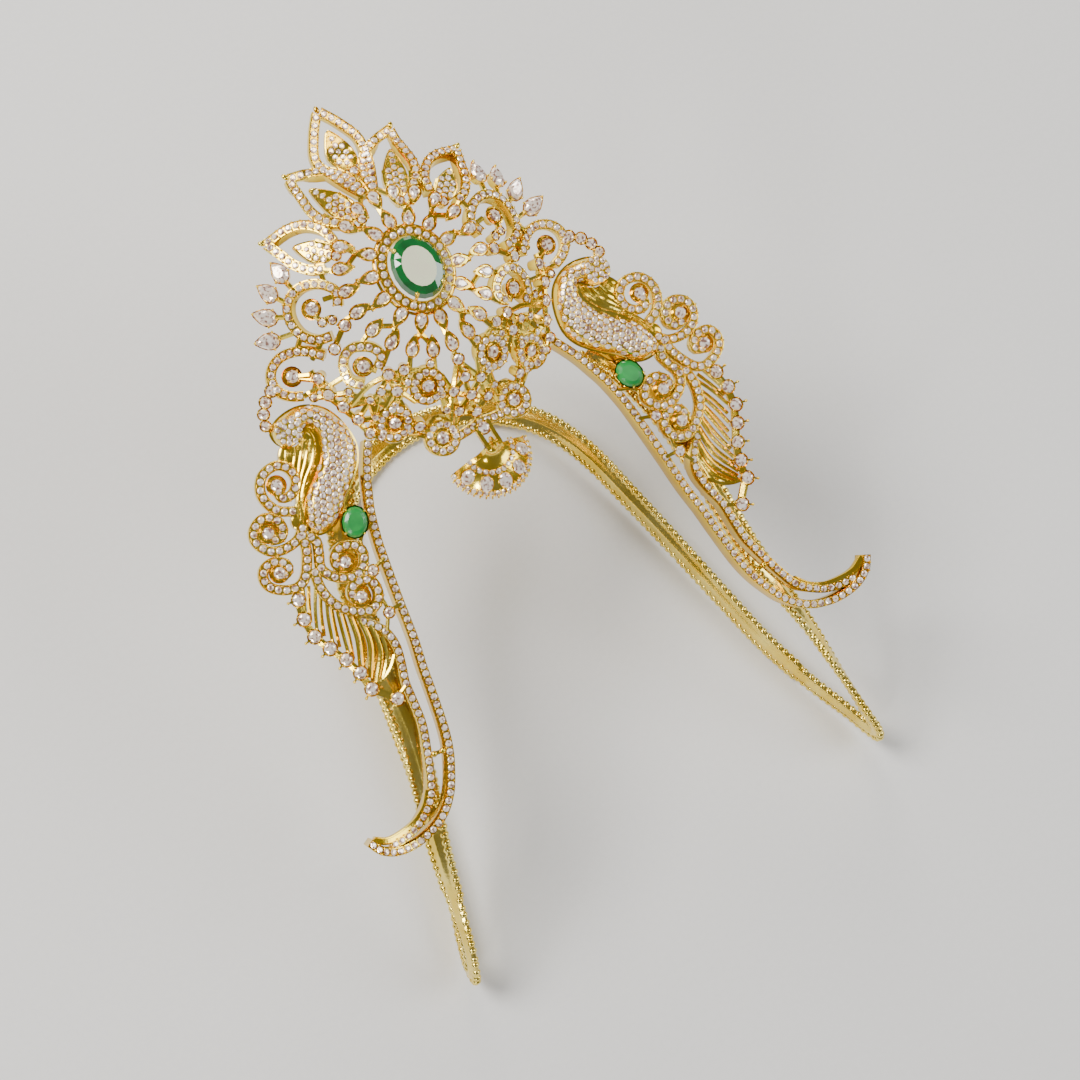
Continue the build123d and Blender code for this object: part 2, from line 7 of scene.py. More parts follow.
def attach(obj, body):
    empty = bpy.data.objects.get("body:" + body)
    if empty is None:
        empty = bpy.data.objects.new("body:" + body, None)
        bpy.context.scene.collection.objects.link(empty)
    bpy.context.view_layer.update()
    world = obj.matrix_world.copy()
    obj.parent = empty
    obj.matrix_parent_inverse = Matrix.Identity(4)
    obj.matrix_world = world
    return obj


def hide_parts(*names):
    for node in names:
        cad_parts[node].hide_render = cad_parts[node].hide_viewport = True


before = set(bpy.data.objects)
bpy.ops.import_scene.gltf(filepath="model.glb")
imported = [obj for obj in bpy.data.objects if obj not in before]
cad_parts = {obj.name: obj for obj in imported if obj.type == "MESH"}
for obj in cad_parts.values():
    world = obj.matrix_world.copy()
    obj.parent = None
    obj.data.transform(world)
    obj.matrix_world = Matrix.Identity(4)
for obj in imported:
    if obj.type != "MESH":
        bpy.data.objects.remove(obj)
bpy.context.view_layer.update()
floorZ = 0.0

# The plaque is drawn on its own plane, in millimetres: x across, y to the crest, z off its face.
plaque = {"slope": 19.1, "y": -37.472, "z": 31.175}
slope = math.radians(plaque["slope"])
plaqueMatrix = Matrix(((1, 0, 0, 0),
                       (0, math.cos(slope), -math.sin(slope), plaque["y"]),
                       (0, math.sin(slope), math.cos(slope), plaque["z"]),
                       (0, 0, 0, 1)))
toFrame = Matrix.Scale(0.001, 4) @ plaqueMatrix
mirrorX = Matrix.Scale(-1, 4, (1, 0, 0))

dome = {"x": 0.0, "y": 76.0, "radius": 38.0, "top": 9.85, "reach": 24.5, "ringY": 77.6}
paveRow = {"pitch": 1.36, "gem": 0.57, "bead": 0.2, "rail": 1.75, "depth": 1.9}


def flatLift(x, y):
    return 0.0


def farBelow(x, y):
    return -200.0


def domeLift(x, y):
    reach = min(math.hypot(x - dome["x"], y - dome["y"]), dome["reach"])
    return dome["top"] - dome["radius"] + math.sqrt(dome["radius"] ** 2 - reach ** 2)


def slopeOut(x, y, lift):     # the way a raised surface faces, from the lift around a spot
    d = 0.4
    dx = lift(x + d, y) - lift(x - d, y)
    dy = lift(x, y + d) - lift(x, y - d)
    return Vector((-dx, -dy, 2 * d)).normalized()


def placeAt(spot, along, out):     # z axis along out, x axis as near as may be to along
    out = Vector(out).normalized()
    along = Vector(along)
    along = (along - out * along.dot(out)).normalized()
    side = out.cross(along)
    matrix = Matrix((along, side, out)).transposed().to_4x4()
    matrix.translation = Vector(spot)
    return matrix


def softSpot(a, b, c, d, t):     # a spot between b and c on a soft line through four points
    return 0.5 * (2 * b + (c - a) * t + (2 * a - 5 * b + 4 * c - d) * t * t
                  + (3 * b - a - 3 * c + d) * t ** 3)


def flatWay(turn):     # the way on the flat at that many degrees from x
    a = math.radians(turn)
    return math.cos(a), math.sin(a)


def smoothLine(points, step=0.6, closed=False):     # a soft line through the points
    rows = [Vector(p) if len(p) == 3 else Vector((p[0], p[1], 0)) for p in points]
    if closed:
        rows = [rows[-1]] + rows + [rows[0], rows[1]]
    else:
        rows = [2 * rows[0] - rows[1]] + rows + [2 * rows[-1] - rows[-2]]
    line = []
    for a, b, c, d in zip(rows, rows[1:], rows[2:], rows[3:]):
        cuts = max(1, math.ceil((c - b).length / step))
        line += [softSpot(a, b, c, d, i / cuts) for i in range(cuts)]
    if not closed:
        line.append(rows[-2].copy())
    return line


def lineTangents(line, closed=False):
    ends = len(line) - 1
    tangents = []
    for i in range(len(line)):
        before = line[i - 1] if i or closed else line[i]
        after = line[(i + 1) % len(line)] if i < ends or closed else line[i]
        tangents.append((after - before).normalized())
    return tangents


def spacedOn(line, pitch, closed=False, start=0.5):     # spots at an even pitch, with the way
    path = line + [line[0]] if closed else line
    lengths = [(b - a).length for a, b in zip(path, path[1:])]
    total = sum(lengths)
    count = max(1, round(total / pitch))
    spots = []
    for i in range(count):
        want = total * (i + start) / count
        run = 0
        for a, b, length in zip(path, path[1:], lengths):
            if run + length >= want:
                spots.append((a.lerp(b, (want - run) / max(length, 1e-6)), (b - a).normalized()))
                break
            run += length
    return spots, total / count


def railProfile(width, depth):     # a strip with eased upper edges, seen from its end
    w = width / 2
    half = [(w, -0.14), (w - 0.08, 0.05), (w - 0.24, 0.06), (w - 0.34, -0.1)]
    return [(-x, y) for x, y in half] + half[::-1] + [(w - 0.12, -depth), (-w + 0.12, -depth)]


def wireProfile(radius, sides=6):
    return [(radius * math.cos(2 * math.pi * (i + 0.5) / sides),
             radius * math.sin(2 * math.pi * (i + 0.5) / sides)) for i in range(sides)]


def sweep(target, places, profile, closed=False):
    # the profile lies across each place's x axis; it is extruded from place to place
    small = bmesh.new()
    turned = [m @ Matrix(((0, 0, 1, 0), (-1, 0, 0, 0), (0, 1, 0, 0), (0, 0, 0, 1))) for m in places]
    face = small.faces.new([small.verts.new(turned[0] @ Vector((u, v, 0))) for u, v in profile])
    steps = list(zip(turned, turned[1:]))
    if closed:
        steps.append((turned[-1], turned[0]))
    first = face
    for before, after in steps:
        made = bmesh.ops.extrude_face_region(small, geom=[face])["geom"]
        fresh = [g for g in made if isinstance(g, bmesh.types.BMVert)]
        face = [g for g in made if isinstance(g, bmesh.types.BMFace)][0]
        bmesh.ops.transform(small, matrix=after @ before.inverted(), verts=fresh)
    if closed:
        bmesh.ops.delete(small, geom=[f for f in (first, face) if f.is_valid], context="FACES_ONLY")
        bmesh.ops.remove_doubles(small, verts=small.verts, dist=0.002)
    bmesh.ops.recalc_face_normals(small, faces=small.faces)
    joinInto(target, small)


def joinInto(target, small):
    mesh = bpy.data.meshes.new("part")
    small.to_mesh(mesh)
    small.free()
    target.from_mesh(mesh)
    bpy.data.meshes.remove(mesh)


def copiesOf(shape, places):     # one mesh that holds the shape at every place
    corners = [v.co.copy() for v in shape.vertices]
    sides = [tuple(p.vertices) for p in shape.polygons]
    spots, faces = [], []
    for place in places:
        first = len(spots)
        spots += [place @ c for c in corners]
        faces += [tuple(first + i for i in side) for side in sides]
    mesh = bpy.data.meshes.new("copies")
    mesh.from_pydata(spots, [], faces)
    return mesh


def addCopies(part, name, places):     # kept until the piece is finished
    part["copies"].setdefault(name, []).extend(places)


def shapeMesh(build, name):     # keeps a small bmesh as a mesh that can be copied
    bm = bmesh.new()
    build(bm)
    bmesh.ops.recalc_face_normals(bm, faces=bm.faces)
    mesh = bpy.data.meshes.new(name)
    bm.to_mesh(mesh)
    bm.free()
    return mesh


def cutStone(outline, table=0.56, crown=0.34, deep=0.62, waist=0.8):
    # a faceted stone of girdle size 1: the hull of its table, star points, girdle and point
    def build(bm):
        count = len(outline)
        for i, (x, y) in enumerate(outline):
            nx, ny = outline[(i + 1) % count]
            mx, my = (x + nx) / 2, (y + ny) / 2
            bm.verts.new((x, y, 0))
            bm.verts.new((x, y, -0.06))
            bm.verts.new((waist * x * 1.02, waist * y * 1.02, crown * 0.62))
            bm.verts.new((table * mx * 1.05, table * my * 1.05, crown))
        bm.verts.new((0, 0, -deep))
        hull = bmesh.ops.convex_hull(bm, input=bm.verts)
        bmesh.ops.delete(bm, geom=hull["geom_interior"] + hull["geom_unused"], context="VERTS")
    return build


def ringOutline(sides, length=1.0, width=1.0):
    return [(length * math.cos(2 * math.pi * i / sides), width * math.sin(2 * math.pi * i / sides))
            for i in range(sides)]


def pearOutline(sides=14, length=1.0, width=0.7):     # the point lies along +x
    rows = []
    for i in range(sides):
        a = 2 * math.pi * i / sides
        x = math.cos(a)
        rows.append((length * x, width * math.sin(a) * (1 - 0.28 * (x + 1) / 2 - 0.30 * max(x, 0))))
    return rows


def cupShape(outline, rim=0.16, wall=1.3, foot=0.72, dip=0.35):
    # a solid setting: straight wall, narrow foot and a dip that the stone stands in
    def build(bm):
        face = bm.faces.new([bm.verts.new((x, y, 0)) for x, y in outline])
        face.normal_update()
        if face.normal.z < 0:
            bmesh.ops.reverse_faces(bm, faces=[face])
        made = bmesh.ops.extrude_face_region(bm, geom=[face])["geom"]
        top = [g for g in made if isinstance(g, bmesh.types.BMFace)][0]
        bottom = [v for v in bm.verts if v not in top.verts]
        bmesh.ops.scale(bm, vec=(foot, foot, 1), verts=bottom)
        bmesh.ops.translate(bm, vec=(0, 0, -wall), verts=bottom)
        bmesh.ops.recalc_face_normals(bm, faces=bm.faces)
        bmesh.ops.inset_region(bm, faces=[top], thickness=rim)
        bmesh.ops.translate(bm, vec=(0, 0, -dip), verts=list(top.verts))
    return build


def ballShape(radius, long=1.0, finer=1):
    def build(bm):
        bmesh.ops.create_icosphere(bm, subdivisions=finer, radius=radius)
        bmesh.ops.scale(bm, vec=(1, 1, long), verts=bm.verts)
    return build


def strandShape(bm):     # one bead of the band's rope edge
    bmesh.ops.create_icosphere(bm, subdivisions=2, radius=0.5)
    bmesh.ops.scale(bm, vec=(1.3, 1.7, 1.6), verts=bm.verts)


def dropOutline(x, y, halfLong, halfWide, turn, sides=22):
    c, s = flatWay(turn)
    return [(x + c * u - s * v, y + s * u + c * v)
            for u, v in pearOutline(sides, halfLong, halfWide)]


shapes = {
    "gem": shapeMesh(cutStone(ringOutline(8)), "gem"),
    "pearGem": shapeMesh(cutStone(pearOutline(12, 1.0, 0.74), waist=0.78), "pearGem"),
    "ovalGem": shapeMesh(cutStone(ringOutline(16), table=0.6, crown=0.3, waist=0.84), "ovalGem"),
    "cup": shapeMesh(cupShape(ringOutline(12), rim=0.12, wall=1.0), "cup"),
    "pearCup": shapeMesh(cupShape(pearOutline(14, 1.0, 0.74), rim=0.1, wall=1.0, dip=0.25), "pearCup"),
    "dropCup": shapeMesh(cupShape(dropOutline(0, 0, 1.95, 1.42, 0, 18), rim=0.2, wall=1.7, foot=0.6,
                                  dip=0.3), "dropCup"),
    "dish": shapeMesh(cupShape(ringOutline(16, 1.75, 1.75), rim=0.25, wall=1.6, foot=0.5, dip=0.25), "dish"),
    "bead": shapeMesh(ballShape(paveRow["bead"], 1.3, 1), "bead"),
    "strand": shapeMesh(strandShape, "strand"),
    "claw": shapeMesh(ballShape(0.24, 1.9, 2), "claw"),
}
gemShapes = ("gem", "pearGem", "ovalGem")
smoothShapes = ("bead", "claw", "strand")


def newPart():     # what one piece gathers before it is finished
    return {"gold": bmesh.new(), "gems": bmesh.new(), "copies": {}}


def alongSurface(points, lift, raised, step, closed, upright=False):
    # places on a surface, x along the line and z off the surface or straight up
    line = [Vector((p.x, p.y, p.z + lift(p.x, p.y) + raised)) for p in smoothLine(points, step, closed)]
    outs = [slopeOut(p.x, p.y, flatLift if upright else lift) for p in line]
    return line, [placeAt(p, t, o) for p, t, o in zip(line, lineTangents(line, closed), outs)]


def addRail(part, points, width=None, depth=None, lift=domeLift, closed=False, stones=True,
            raised=0.0, pitch=None, upright=False):
    # a strip that carries one row of stones with two beads between each pair
    width = width or paveRow["rail"]
    line, places = alongSurface(points, lift, raised, 0.6, closed, upright)
    sweep(part["gold"], places, railProfile(width, depth or paveRow["depth"]), closed)
    if not stones:
        return
    spots, gap = spacedOn(line, pitch or paveRow["pitch"], closed)
    size = min(paveRow["gem"], gap * 0.47)
    for spot, along in spots:
        out = slopeOut(spot.x, spot.y, lift)
        place = placeAt(spot + out * 0.1, along, out)
        addCopies(part, "gem", [place @ Matrix.Scale(size, 4)])
        for side in (-1, 1):
            addCopies(part, "bead", [place @ Matrix.Translation((-gap / 2, side * (width / 2 - 0.2), 0.02))])


def addWire(part, points, radius=0.35, lift=domeLift, raised=-0.5, closed=False):
    line, places = alongSurface(points, lift, raised, 0.7, closed)
    sweep(part["gold"], places, wireProfile(radius), closed)


seat = {"rim": 0.26, "clawOut": 0.08, "clawUp": 0.12, "round": (45, 135, 225, 315),
        "pear": (0, 118, 180, 242), "pearWide": 0.74}


def addStone(part, x, y, size=0.95, lift=domeLift, raised=0.25, kind="gem", turn=0.0, width=None,
             wall=1.5, longClaw=None):
    # one stone in its own cup, with claws round its edge
    out = slopeOut(x, y, lift)
    along = Vector((*flatWay(turn), 0))
    place = placeAt(Vector((x, y, lift(x, y) + raised)), along, out)
    width = width or size
    addCopies(part, kind, [place @ Matrix.Diagonal((size, width, size * 0.9, 1))])
    pear = kind == "pearGem"
    cup = place @ Matrix.Diagonal((size + seat["rim"], width + seat["rim"], wall, 1))
    addCopies(part, "pearCup" if pear else "cup", [cup])
    for a in seat["pear" if pear else "round"]:
        c, s = flatWay(a)
        reachX = (size + seat["clawOut"]) * c
        reachY = (width * (seat["pearWide"] if pear else 1) + seat["clawOut"]) * s
        claw = place @ Matrix.Translation((reachX, reachY, seat["clawUp"]))
        addCopies(part, "claw", [claw @ Matrix.Scale(0.75 if size < 1.2 else 0.95, 4)])
    if longClaw is not None:
        way = Vector((*flatWay(longClaw), 0))
        tip = place.translation + way * (size + 0.75) + out * 0.15
        addCopies(part, "claw", [placeAt(tip, way, out) @ Matrix.Scale(1.15, 4)])
        sweep(part["gold"], [placeAt(place.translation + way * size * 0.8, way, out),
                             placeAt(tip, way, out)], wireProfile(0.2))


def shadeDepthUnder(mesh, surface, reach=2.2):     # how deep each point lies under the lit face, 0 to 1: the mask of the painted shade in the gold
    shadeShares = [min(1, max(0, (surface(v.co.x, v.co.y) - 0.15 - v.co.z) / reach)) for v in mesh.vertices]
    mesh.attributes.new("depth", "FLOAT", "POINT").data.foreach_set("value", shadeShares)


def finishPart(part, name, look, body="armlet", nodes=(), gemNodes=(), gemMaterial=None,
               mirrored=False, matrix=None, slots=("gold", "clear_stone"), quiet=False,
               surface=domeLift):
    # turns what was gathered into a gold object and an object of stones, in the frame
    for shape, places in part["copies"].items():
        mesh = copiesOf(shapes[shape], places)
        for polygon in mesh.polygons:
            polygon.use_smooth = shape in smoothShapes
        part["gems" if shape in gemShapes else "gold"].from_mesh(mesh)
        bpy.data.meshes.remove(mesh)
    counts = []
    for key, ending, material, slot, covered in (
            ("gold", "", look, slots[0], nodes),
            ("gems", "Stones", gemMaterial or clearStone, slots[1], gemNodes)):
        bm = part[key]
        if not bm.verts:
            bm.free()
            continue
        if mirrored:
            bmesh.ops.transform(bm, matrix=mirrorX, verts=bm.verts)
            bmesh.ops.reverse_faces(bm, faces=bm.faces)
        mesh = bpy.data.meshes.new(name + ending)
        for face in bm.faces:
            face.smooth = key == "gold"
        bm.to_mesh(mesh)
        bm.free()
        # the depth attribute masks the painted shade in the gold's hollows
        shadeDepthUnder(mesh, surface)
        mesh.transform(matrix or toFrame)
        if key == "gold":
            mesh.set_sharp_from_angle(angle=math.radians(40))
        thing = bpy.data.objects.new(name + ending, mesh)
        bpy.context.scene.collection.objects.link(thing)
        mesh.materials.append(material)
        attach(thing, body)
        if covered:
            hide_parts(*covered)
        counts.append(sum(len(p.vertices) - 2 for p in mesh.polygons))
    if not quiet:
        print("finished", name, counts)


class Flow:     # a shader socket that can be used in an expression
    def __init__(self, finish, socket):
        self.finish = finish
        self.socket = socket

    def join(self, operation, first, second):
        return self.finish.node("ShaderNodeMath", {"operation": operation}, {0: first, 1: second})

    def __add__(self, other):
        return self.join("ADD", self, other)

    def __sub__(self, other):
        return self.join("SUBTRACT", self, other)

    def __rsub__(self, other):
        return self.join("SUBTRACT", other, self)

    def __mul__(self, other):
        return self.join("MULTIPLY", self, other)

    __radd__ = __add__
    __rmul__ = __mul__


class Finish:     # a material that is built up from nodes
    def __init__(self, name):
        self.material = bpy.data.materials.new(name)
        self.material.use_nodes = True
        self.tree = self.material.node_tree
        self.shader = self.tree.nodes["Principled BSDF"]
        self.spot = self.node("ShaderNodeTexCoord", out="Object")

    def node(self, kind, settings=None, values=None, out=0):
        made = self.tree.nodes.new(kind)
        for key, value in (settings or {}).items():
            if key == "stops":
                ramp = made.color_ramp.elements
                while len(ramp) < len(value):
                    ramp.new(0.5)
                for stop, (place, colour) in zip(ramp, value):
                    stop.position = place
                    stop.color = colour
            else:
                setattr(made, key, value)
        for key, value in (values or {}).items():
            self.feed(made.inputs[key], value)
        return Flow(self, made.outputs[out])

    def feed(self, socket, value):
        if isinstance(value, Flow):
            self.tree.links.new(value.socket, socket)
        else:
            socket.default_value = value

    def noise(self, scale, detail=2.0):
        return self.node("ShaderNodeTexNoise", {}, {"Vector": self.spot, "Scale": scale,
                                                    "Detail": detail}, "Fac")

    def blendOf(self, share, first, second):
        return self.node("ShaderNodeMix", {"data_type": "RGBA"},
                         {0: share, 6: first, 7: second}, 2)

    def ramp(self, share, stops):
        return self.node("ShaderNodeValToRGB", {"stops": stops}, {"Fac": share}, "Color")

    def bump(self, height, strength, distance):
        return self.node("ShaderNodeBump", {}, {"Height": height, "Strength": strength,
                                                "Distance": distance}, "Normal")

    def wear(self, **values):
        for key, value in values.items():
            self.feed(self.shader.inputs[key.replace("_", " ")], value)
        return self.material


# the darkest colour of each look is painted shade: amber painted into the hollows under the top face
goldLook = {"bright": (1.0, 0.78, 0.13, 1), "deep": (0.97, 0.63, 0.035, 1), "shadeAmber": (0.42, 0.225, 0.007, 1),
            "rough": 0.15}
bandLook = {"bright": (0.98, 0.8, 0.22, 1), "deep": (0.85, 0.6, 0.07, 1), "shadeAmber": (0.4, 0.24, 0.02, 1),
            "rough": 0.15}


def goldFinish(name, look):     # warm clouds of colour, a fine grain, and painted shade: darker amber where the gold lies low under the top face
    gold = Finish(name)
    cloud = gold.noise(170, 3.0)
    grain = gold.noise(2600, 2.0)
    share = gold.ramp(cloud, [(0.36, (0, 0, 0, 1)), (0.66, (1, 1, 1, 1))])
    face = gold.blendOf(share, look["deep"], look["bright"])
    # painted shade: the depth mask blends in the darker amber where the gold lies in the hollows
    depth = gold.node("ShaderNodeAttribute", {"attribute_name": "depth"}, out="Fac")
    colour = gold.blendOf(depth * 0.85, face, look["shadeAmber"])
    return gold.wear(Base_Color=colour, Metallic=1.0, Roughness=grain * 0.16 + look["rough"] - 0.06,
                     Normal=gold.bump(grain + cloud * 0.6, 0.22, 0.00006))


def clearFinish():
    clear = Finish("clearStone")
    # painted reflections: the stone's pale colour mottled with painted dark facets and painted bright glints
    paintedGlint = clear.noise(1900, 1.0)
    tint = clear.noise(420, 1.0)
    body = clear.ramp(paintedGlint, [(0.38, (0.3, 0.17, 0.13, 1)), (0.47, (0.92, 0.8, 0.7, 1)),
                                (0.6, (1.0, 0.97, 0.91, 1))])
    warm = clear.blendOf(clear.ramp(tint, [(0.4, (0, 0, 0, 1)), (0.75, (1, 1, 1, 1))]),
                         (1.0, 0.95, 0.94, 1), (1.0, 0.87, 0.7, 1))
    colour = clear.node("ShaderNodeMix", {"data_type": "RGBA", "blend_type": "MULTIPLY"},
                        {0: 1.0, 6: body, 7: warm}, 2)
    # the stones also glow a little with their own colour: painted light
    return clear.wear(Base_Color=colour, Metallic=0.45, Roughness=0.07, IOR=2.1, Coat_Weight=0.6,
                      Emission_Color=colour, Emission_Strength=0.24)


def greenFinish(name, deep, bright, rough, coat):
    green = Finish(name)
    cloud = green.noise(330, 2.0)
    colour = green.blendOf(green.ramp(cloud, [(0.3, (0, 0, 0, 1)), (0.72, (1, 1, 1, 1))]), deep, bright)
    return green.wear(Base_Color=colour, Roughness=rough, IOR=1.75, Coat_Weight=coat)


def floorFinish():
    paper = Finish("paleFloor")
    fibre = paper.noise(900, 4.0)
    colour = paper.blendOf(fibre, (0.74, 0.735, 0.72, 1), (0.79, 0.785, 0.775, 1))
    return paper.wear(Base_Color=colour, Roughness=0.85, Normal=paper.bump(fibre, 0.15, 0.0001))


gold = goldFinish("gold", goldLook)
bandGold = goldFinish("bandGold", bandLook)
clearStone = clearFinish()
emerald = greenFinish("emerald", (0.0, 0.06, 0.008, 1), (0.0, 0.16, 0.02, 1), 0.05, 1.0)
greenGlass = greenFinish("greenGlass", (0.0, 0.2, 0.03, 1), (0.0, 0.36, 0.05, 1), 0.3, 0.25)
print("finishes ready")


# Arm band: a polished middle between two rope edges, from under one leg round the back to the other.
armBand = {"width": 5.2, "turnWidth": 4.2, "turnFrom": -18, "turnAt": (33, 42.6, 12), "rope": 0.78,
           "bead": 1.36, "slant": 24, "step": 0.34, "web": 0.42, "ridge": 0.3}
# x, y, lift and the way the face looks, in degrees from straight down
bandPath = [
    (0, 53.5, -50, 0), (8, 52.3, -49.6, 8), (16, 48.8, -47.5, 20), (22, 42.8, -44, 35),
    (25.8, 34.5, -40.5, 47), (28.6, 22.5, -36.9, 57), (30.9, 11.2, -33.2, 62),
    (33.2, -0.7, -29.5, 66), (35.3, -11, -26.2, 70), (38.2, -20.5, -22.8, 75),
    (40.9, -27.5, -19.9, 82), (42.2, -31.4, -18.2, 86), (42.6, -33, -15.8, 90),
    (42.3, -31.4, -13.4, 94), (41.3, -27, -11.8, 100), (39.6, -17, -9.8, 115),
    (38, -8, -8.2, 130), (36, 0, -6.9, 145), (34.2, 8.5, -6, 158), (33.2, 17, -5.5, 165),
    (32.4, 26, -5.2, 167), (31, 36, -5, 170), (28, 46, -4.7, 172), (24, 53.5, -4.4, 175)]


def bandPlaces(step):     # places and widths along the whole band, z the way its face looks
    spec = armBand
    rows = [(-x, y, w, -a) for x, y, w, a in reversed(bandPath[1:])] + bandPath
    line, angles = [], []
    spots = [Vector(r[:3]) for r in rows]
    for i, row in enumerate(rows[:-1]):
        before = spots[i - 1] if i else 2 * spots[0] - spots[1]
        after = spots[i + 2] if i + 2 < len(rows) else 2 * spots[-1] - spots[-2]
        b, c = spots[i], spots[i + 1]
        cuts = max(1, round((c - b).length / step))
        for k in range(cuts):
            line.append(softSpot(before, b, c, after, k / cuts))
            angles.append(math.radians(row[3] + (rows[i + 1][3] - row[3]) * (k / cuts)))
    line.append(spots[-1])
    angles.append(math.radians(rows[-1][3]))
    places = []
    for spot, along, a in zip(line, lineTangents(line), angles):
        out = Vector((math.sin(a), 0, -math.cos(a)))
        out = (out - along * out.dot(along)).normalized()
        middle, reach, soft = spec["turnAt"]
        narrow = max(0, 1 - abs(math.hypot(spot.x, spot.y + middle) - reach) / soft)
        if spot.y >= spec["turnFrom"]:
            narrow = 0
        places.append((placeAt(spot, along, out), spec["width"]
                       + (spec["turnWidth"] - spec["width"]) * min(1, 1.6 * narrow)))
    return places


def ropeEdge(part, places, side):     # a plain core with slanted beads round it, like a rope
    spec = armBand
    core = [place @ Matrix.Translation((0, side * (width / 2 - spec["rope"]), 0)) for place, width in places]
    sweep(part["gold"], core[::2], wireProfile(spec["rope"] * 0.72, 8))
    run = 0
    for before, at in zip(core, core[1:]):
        run += (at.translation - before.translation).length
        if run >= spec["bead"]:
            run -= spec["bead"]
            addCopies(part, "strand", [at @ Matrix.Rotation(side * math.radians(spec["slant"]), 4, "Z")])


def buildArmBand():
    spec = armBand
    part = newPart()
    places = bandPlaces(spec["step"])
    for side in (1, -1):
        ropeEdge(part, places, side)
    half = spec["width"] / 2 - spec["rope"] * 1.25
    ridge = [(-half, spec["web"]), (-half * 0.5, spec["web"] + spec["ridge"] * 0.3),
             (-half * 0.16, spec["web"] + spec["ridge"]), (half * 0.16, spec["web"] + spec["ridge"]),
             (half * 0.5, spec["web"] + spec["ridge"] * 0.3), (half, spec["web"])]
    outline = ridge + [(u, -v) for u, v in reversed(ridge)]
    sweep(part["gold"], [place for place, width in places[::3]], outline)
    finishPart(part, "armBand", bandGold, nodes=["arm_band"], slots=("gold_band", "clear_stone"),
               surface=farBelow)


# Crown: the pierced dome that carries the rings, the leaves and the scrolls; right side.
crownLeafRails = [
    [(0.35, 107.6), (2.4, 104.7), (4.1, 101), (3.3, 97.2), (0.9, 92.2)],
    [(9.5, 100.2), (5.4, 99.4), (2.9, 97.9), (1.2, 95.3), (0.9, 92.2)],
    [(9.5, 99.9), (9.6, 96.4), (9.6, 93.8), (8.7, 91.4), (6.9, 89.9)],
    [(18.1, 92.5), (14.5, 93), (11.8, 92.4), (9.7, 90.3), (9.1, 87.8)],
    [(18.0, 92.2), (17.1, 89.7), (16.3, 87.4), (14.7, 85.4), (12.6, 84.4)]]
leafTips = [(9.9, 100.7, 58), (18.5, 92.8, 32), (0, 108.2, 90)]     # x, y and the way they point
crownScrolls = [
    [(13.6, 78.1), (12.8, 80.4), (14.5, 82.6), (16.8, 83.5), (18.9, 83.1), (20.4, 81.6), (21, 79.2),
     (20.5, 76.6), (18.8, 74.8), (16.6, 74.3)],
    [(18.9, 72), (20.6, 73.7), (22.4, 74.8), (24.6, 75.1), (26.6, 74.2), (27.7, 72.5), (27.5, 70.3),
     (26, 68.7), (24.2, 67.9)],
    [(12.4, 66.2), (11.1, 67.7), (11.7, 69.4), (13.2, 70.5), (14.9, 71), (16.5, 70.1), (17.2, 68.4),
     (17, 66.3), (15.3, 64.8)]]
crownWires = [
    [(17.9, 82.4), (18.8, 87.3)], [(19.4, 81.6), (21.8, 85.3)], [(20.3, 80), (23.9, 82)],
    [(20.4, 77.4), (25.4, 78.3)], [(13.6, 82.3), (13.1, 84.8)], [(20.5, 76.6), (22.4, 74.4)],
    [(20.6, 72.4), (17.6, 74.6)], [(20.1, 68), (24.2, 67.8)], [(17, 67.6), (20, 67.4)],
    [(6.2, 62.9), (9, 64), (11.3, 64.5), (14.8, 64.4), (18.3, 63)], [(8.8, 58.6), (11.1, 61.5), (13.6, 60)],
    [(0, 61.5), (2.6, 57.1), (4.4, 52.6)], [(3.4, 60.6), (2.6, 57.1)], [(9.4, 52.8), (11.4, 54.6)],
    [(17.3, 79.6), (16.8, 77.4), (15.2, 77)], [(24.4, 71.5), (21.9, 70.4)], [(14.3, 67.6), (12.6, 66)],
    [(6.9, 51.2), (9.7, 54.6), (13.2, 57)], [(1.4, 92), (3.6, 89.2)],
    [(21.5, 71), (21, 66.8), (19.4, 63.2), (18.1, 60), (17.4, 56.8)], [(9.1, 88), (8.6, 91.4)]]
# x, y, size of the round stones of one side
crownRounds = [
    (17.3, 79.6, 1.1), (24.4, 71.5, 1.1), (14.3, 67.6, 1.1), (6.2, 59.9, 1.05), (13.2, 57, 1.05),
    (6.9, 51.2, 1.05), (21.2, 69.2, 0.95), (20.8, 66.1, 0.95), (19.5, 63.3, 0.95), (18.2, 60.3, 0.9),
    (17.4, 57.5, 0.8), (11.3, 64.5, 0.9),
    (8.8, 64.0, 0.85), (11.1, 61.5, 0.9), (9.7, 54.6, 0.9), (2.6, 57.1, 0.85), (2.8, 53.8, 0.85),
    (14.1, 74.8, 0.9), (16.9, 76.9, 0.62), (15.4, 76.5, 0.62), (13.4, 62.6, 0.7), (17.1, 72.2, 0.85)]
# small stones that fill the lower crown between the large ones
crownSeeds = [(4.5, 57.6), (8.9, 61.9), (12.1, 59.5), (15.6, 59.3), (15.4, 62.2), (4.6, 54.9),
              (10.9, 57.6), (17.9, 65.0), (15.9, 56.0), (11.3, 54.6), (4.4, 62.9), (4.7, 51.3), (22.8, 66.9)]
crownCentre = [(0, 61.5, 0.9), (0, 58.4, 0.9), (0, 55.3, 0.9), (0, 52.3, 0.9), (0, 49.5, 1.0)]
ringMotifs = [(6.2, 59.9), (13.2, 57), (6.9, 51.2)]
# x, y, half length, half width, turn of the pavé leaves inside the open ones
innerLeaf = {"swell": 1.25, "base": -0.15, "steps": [(0.16, 0.12), (0.12, 0.0)], "thick": 1.2,
             "raised": -0.08, "pitch": 1.16, "gem": 0.5, "margin": 0.55, "foot": 0.72}
innerLeaves = [(0, 100.6, 3.9, 2.15, 90), (5.6, 93.0, 4.6, 1.95, 64), (12.5, 87.7, 3.2, 1.8, 44)]
crownStem = [(0, 62), (0, 55), (0, 49)]
crownFoot = [(-4.6, 50.2), (-2.4, 50.3), (0, 50.6), (2.4, 50.3), (4.6, 50.2)]
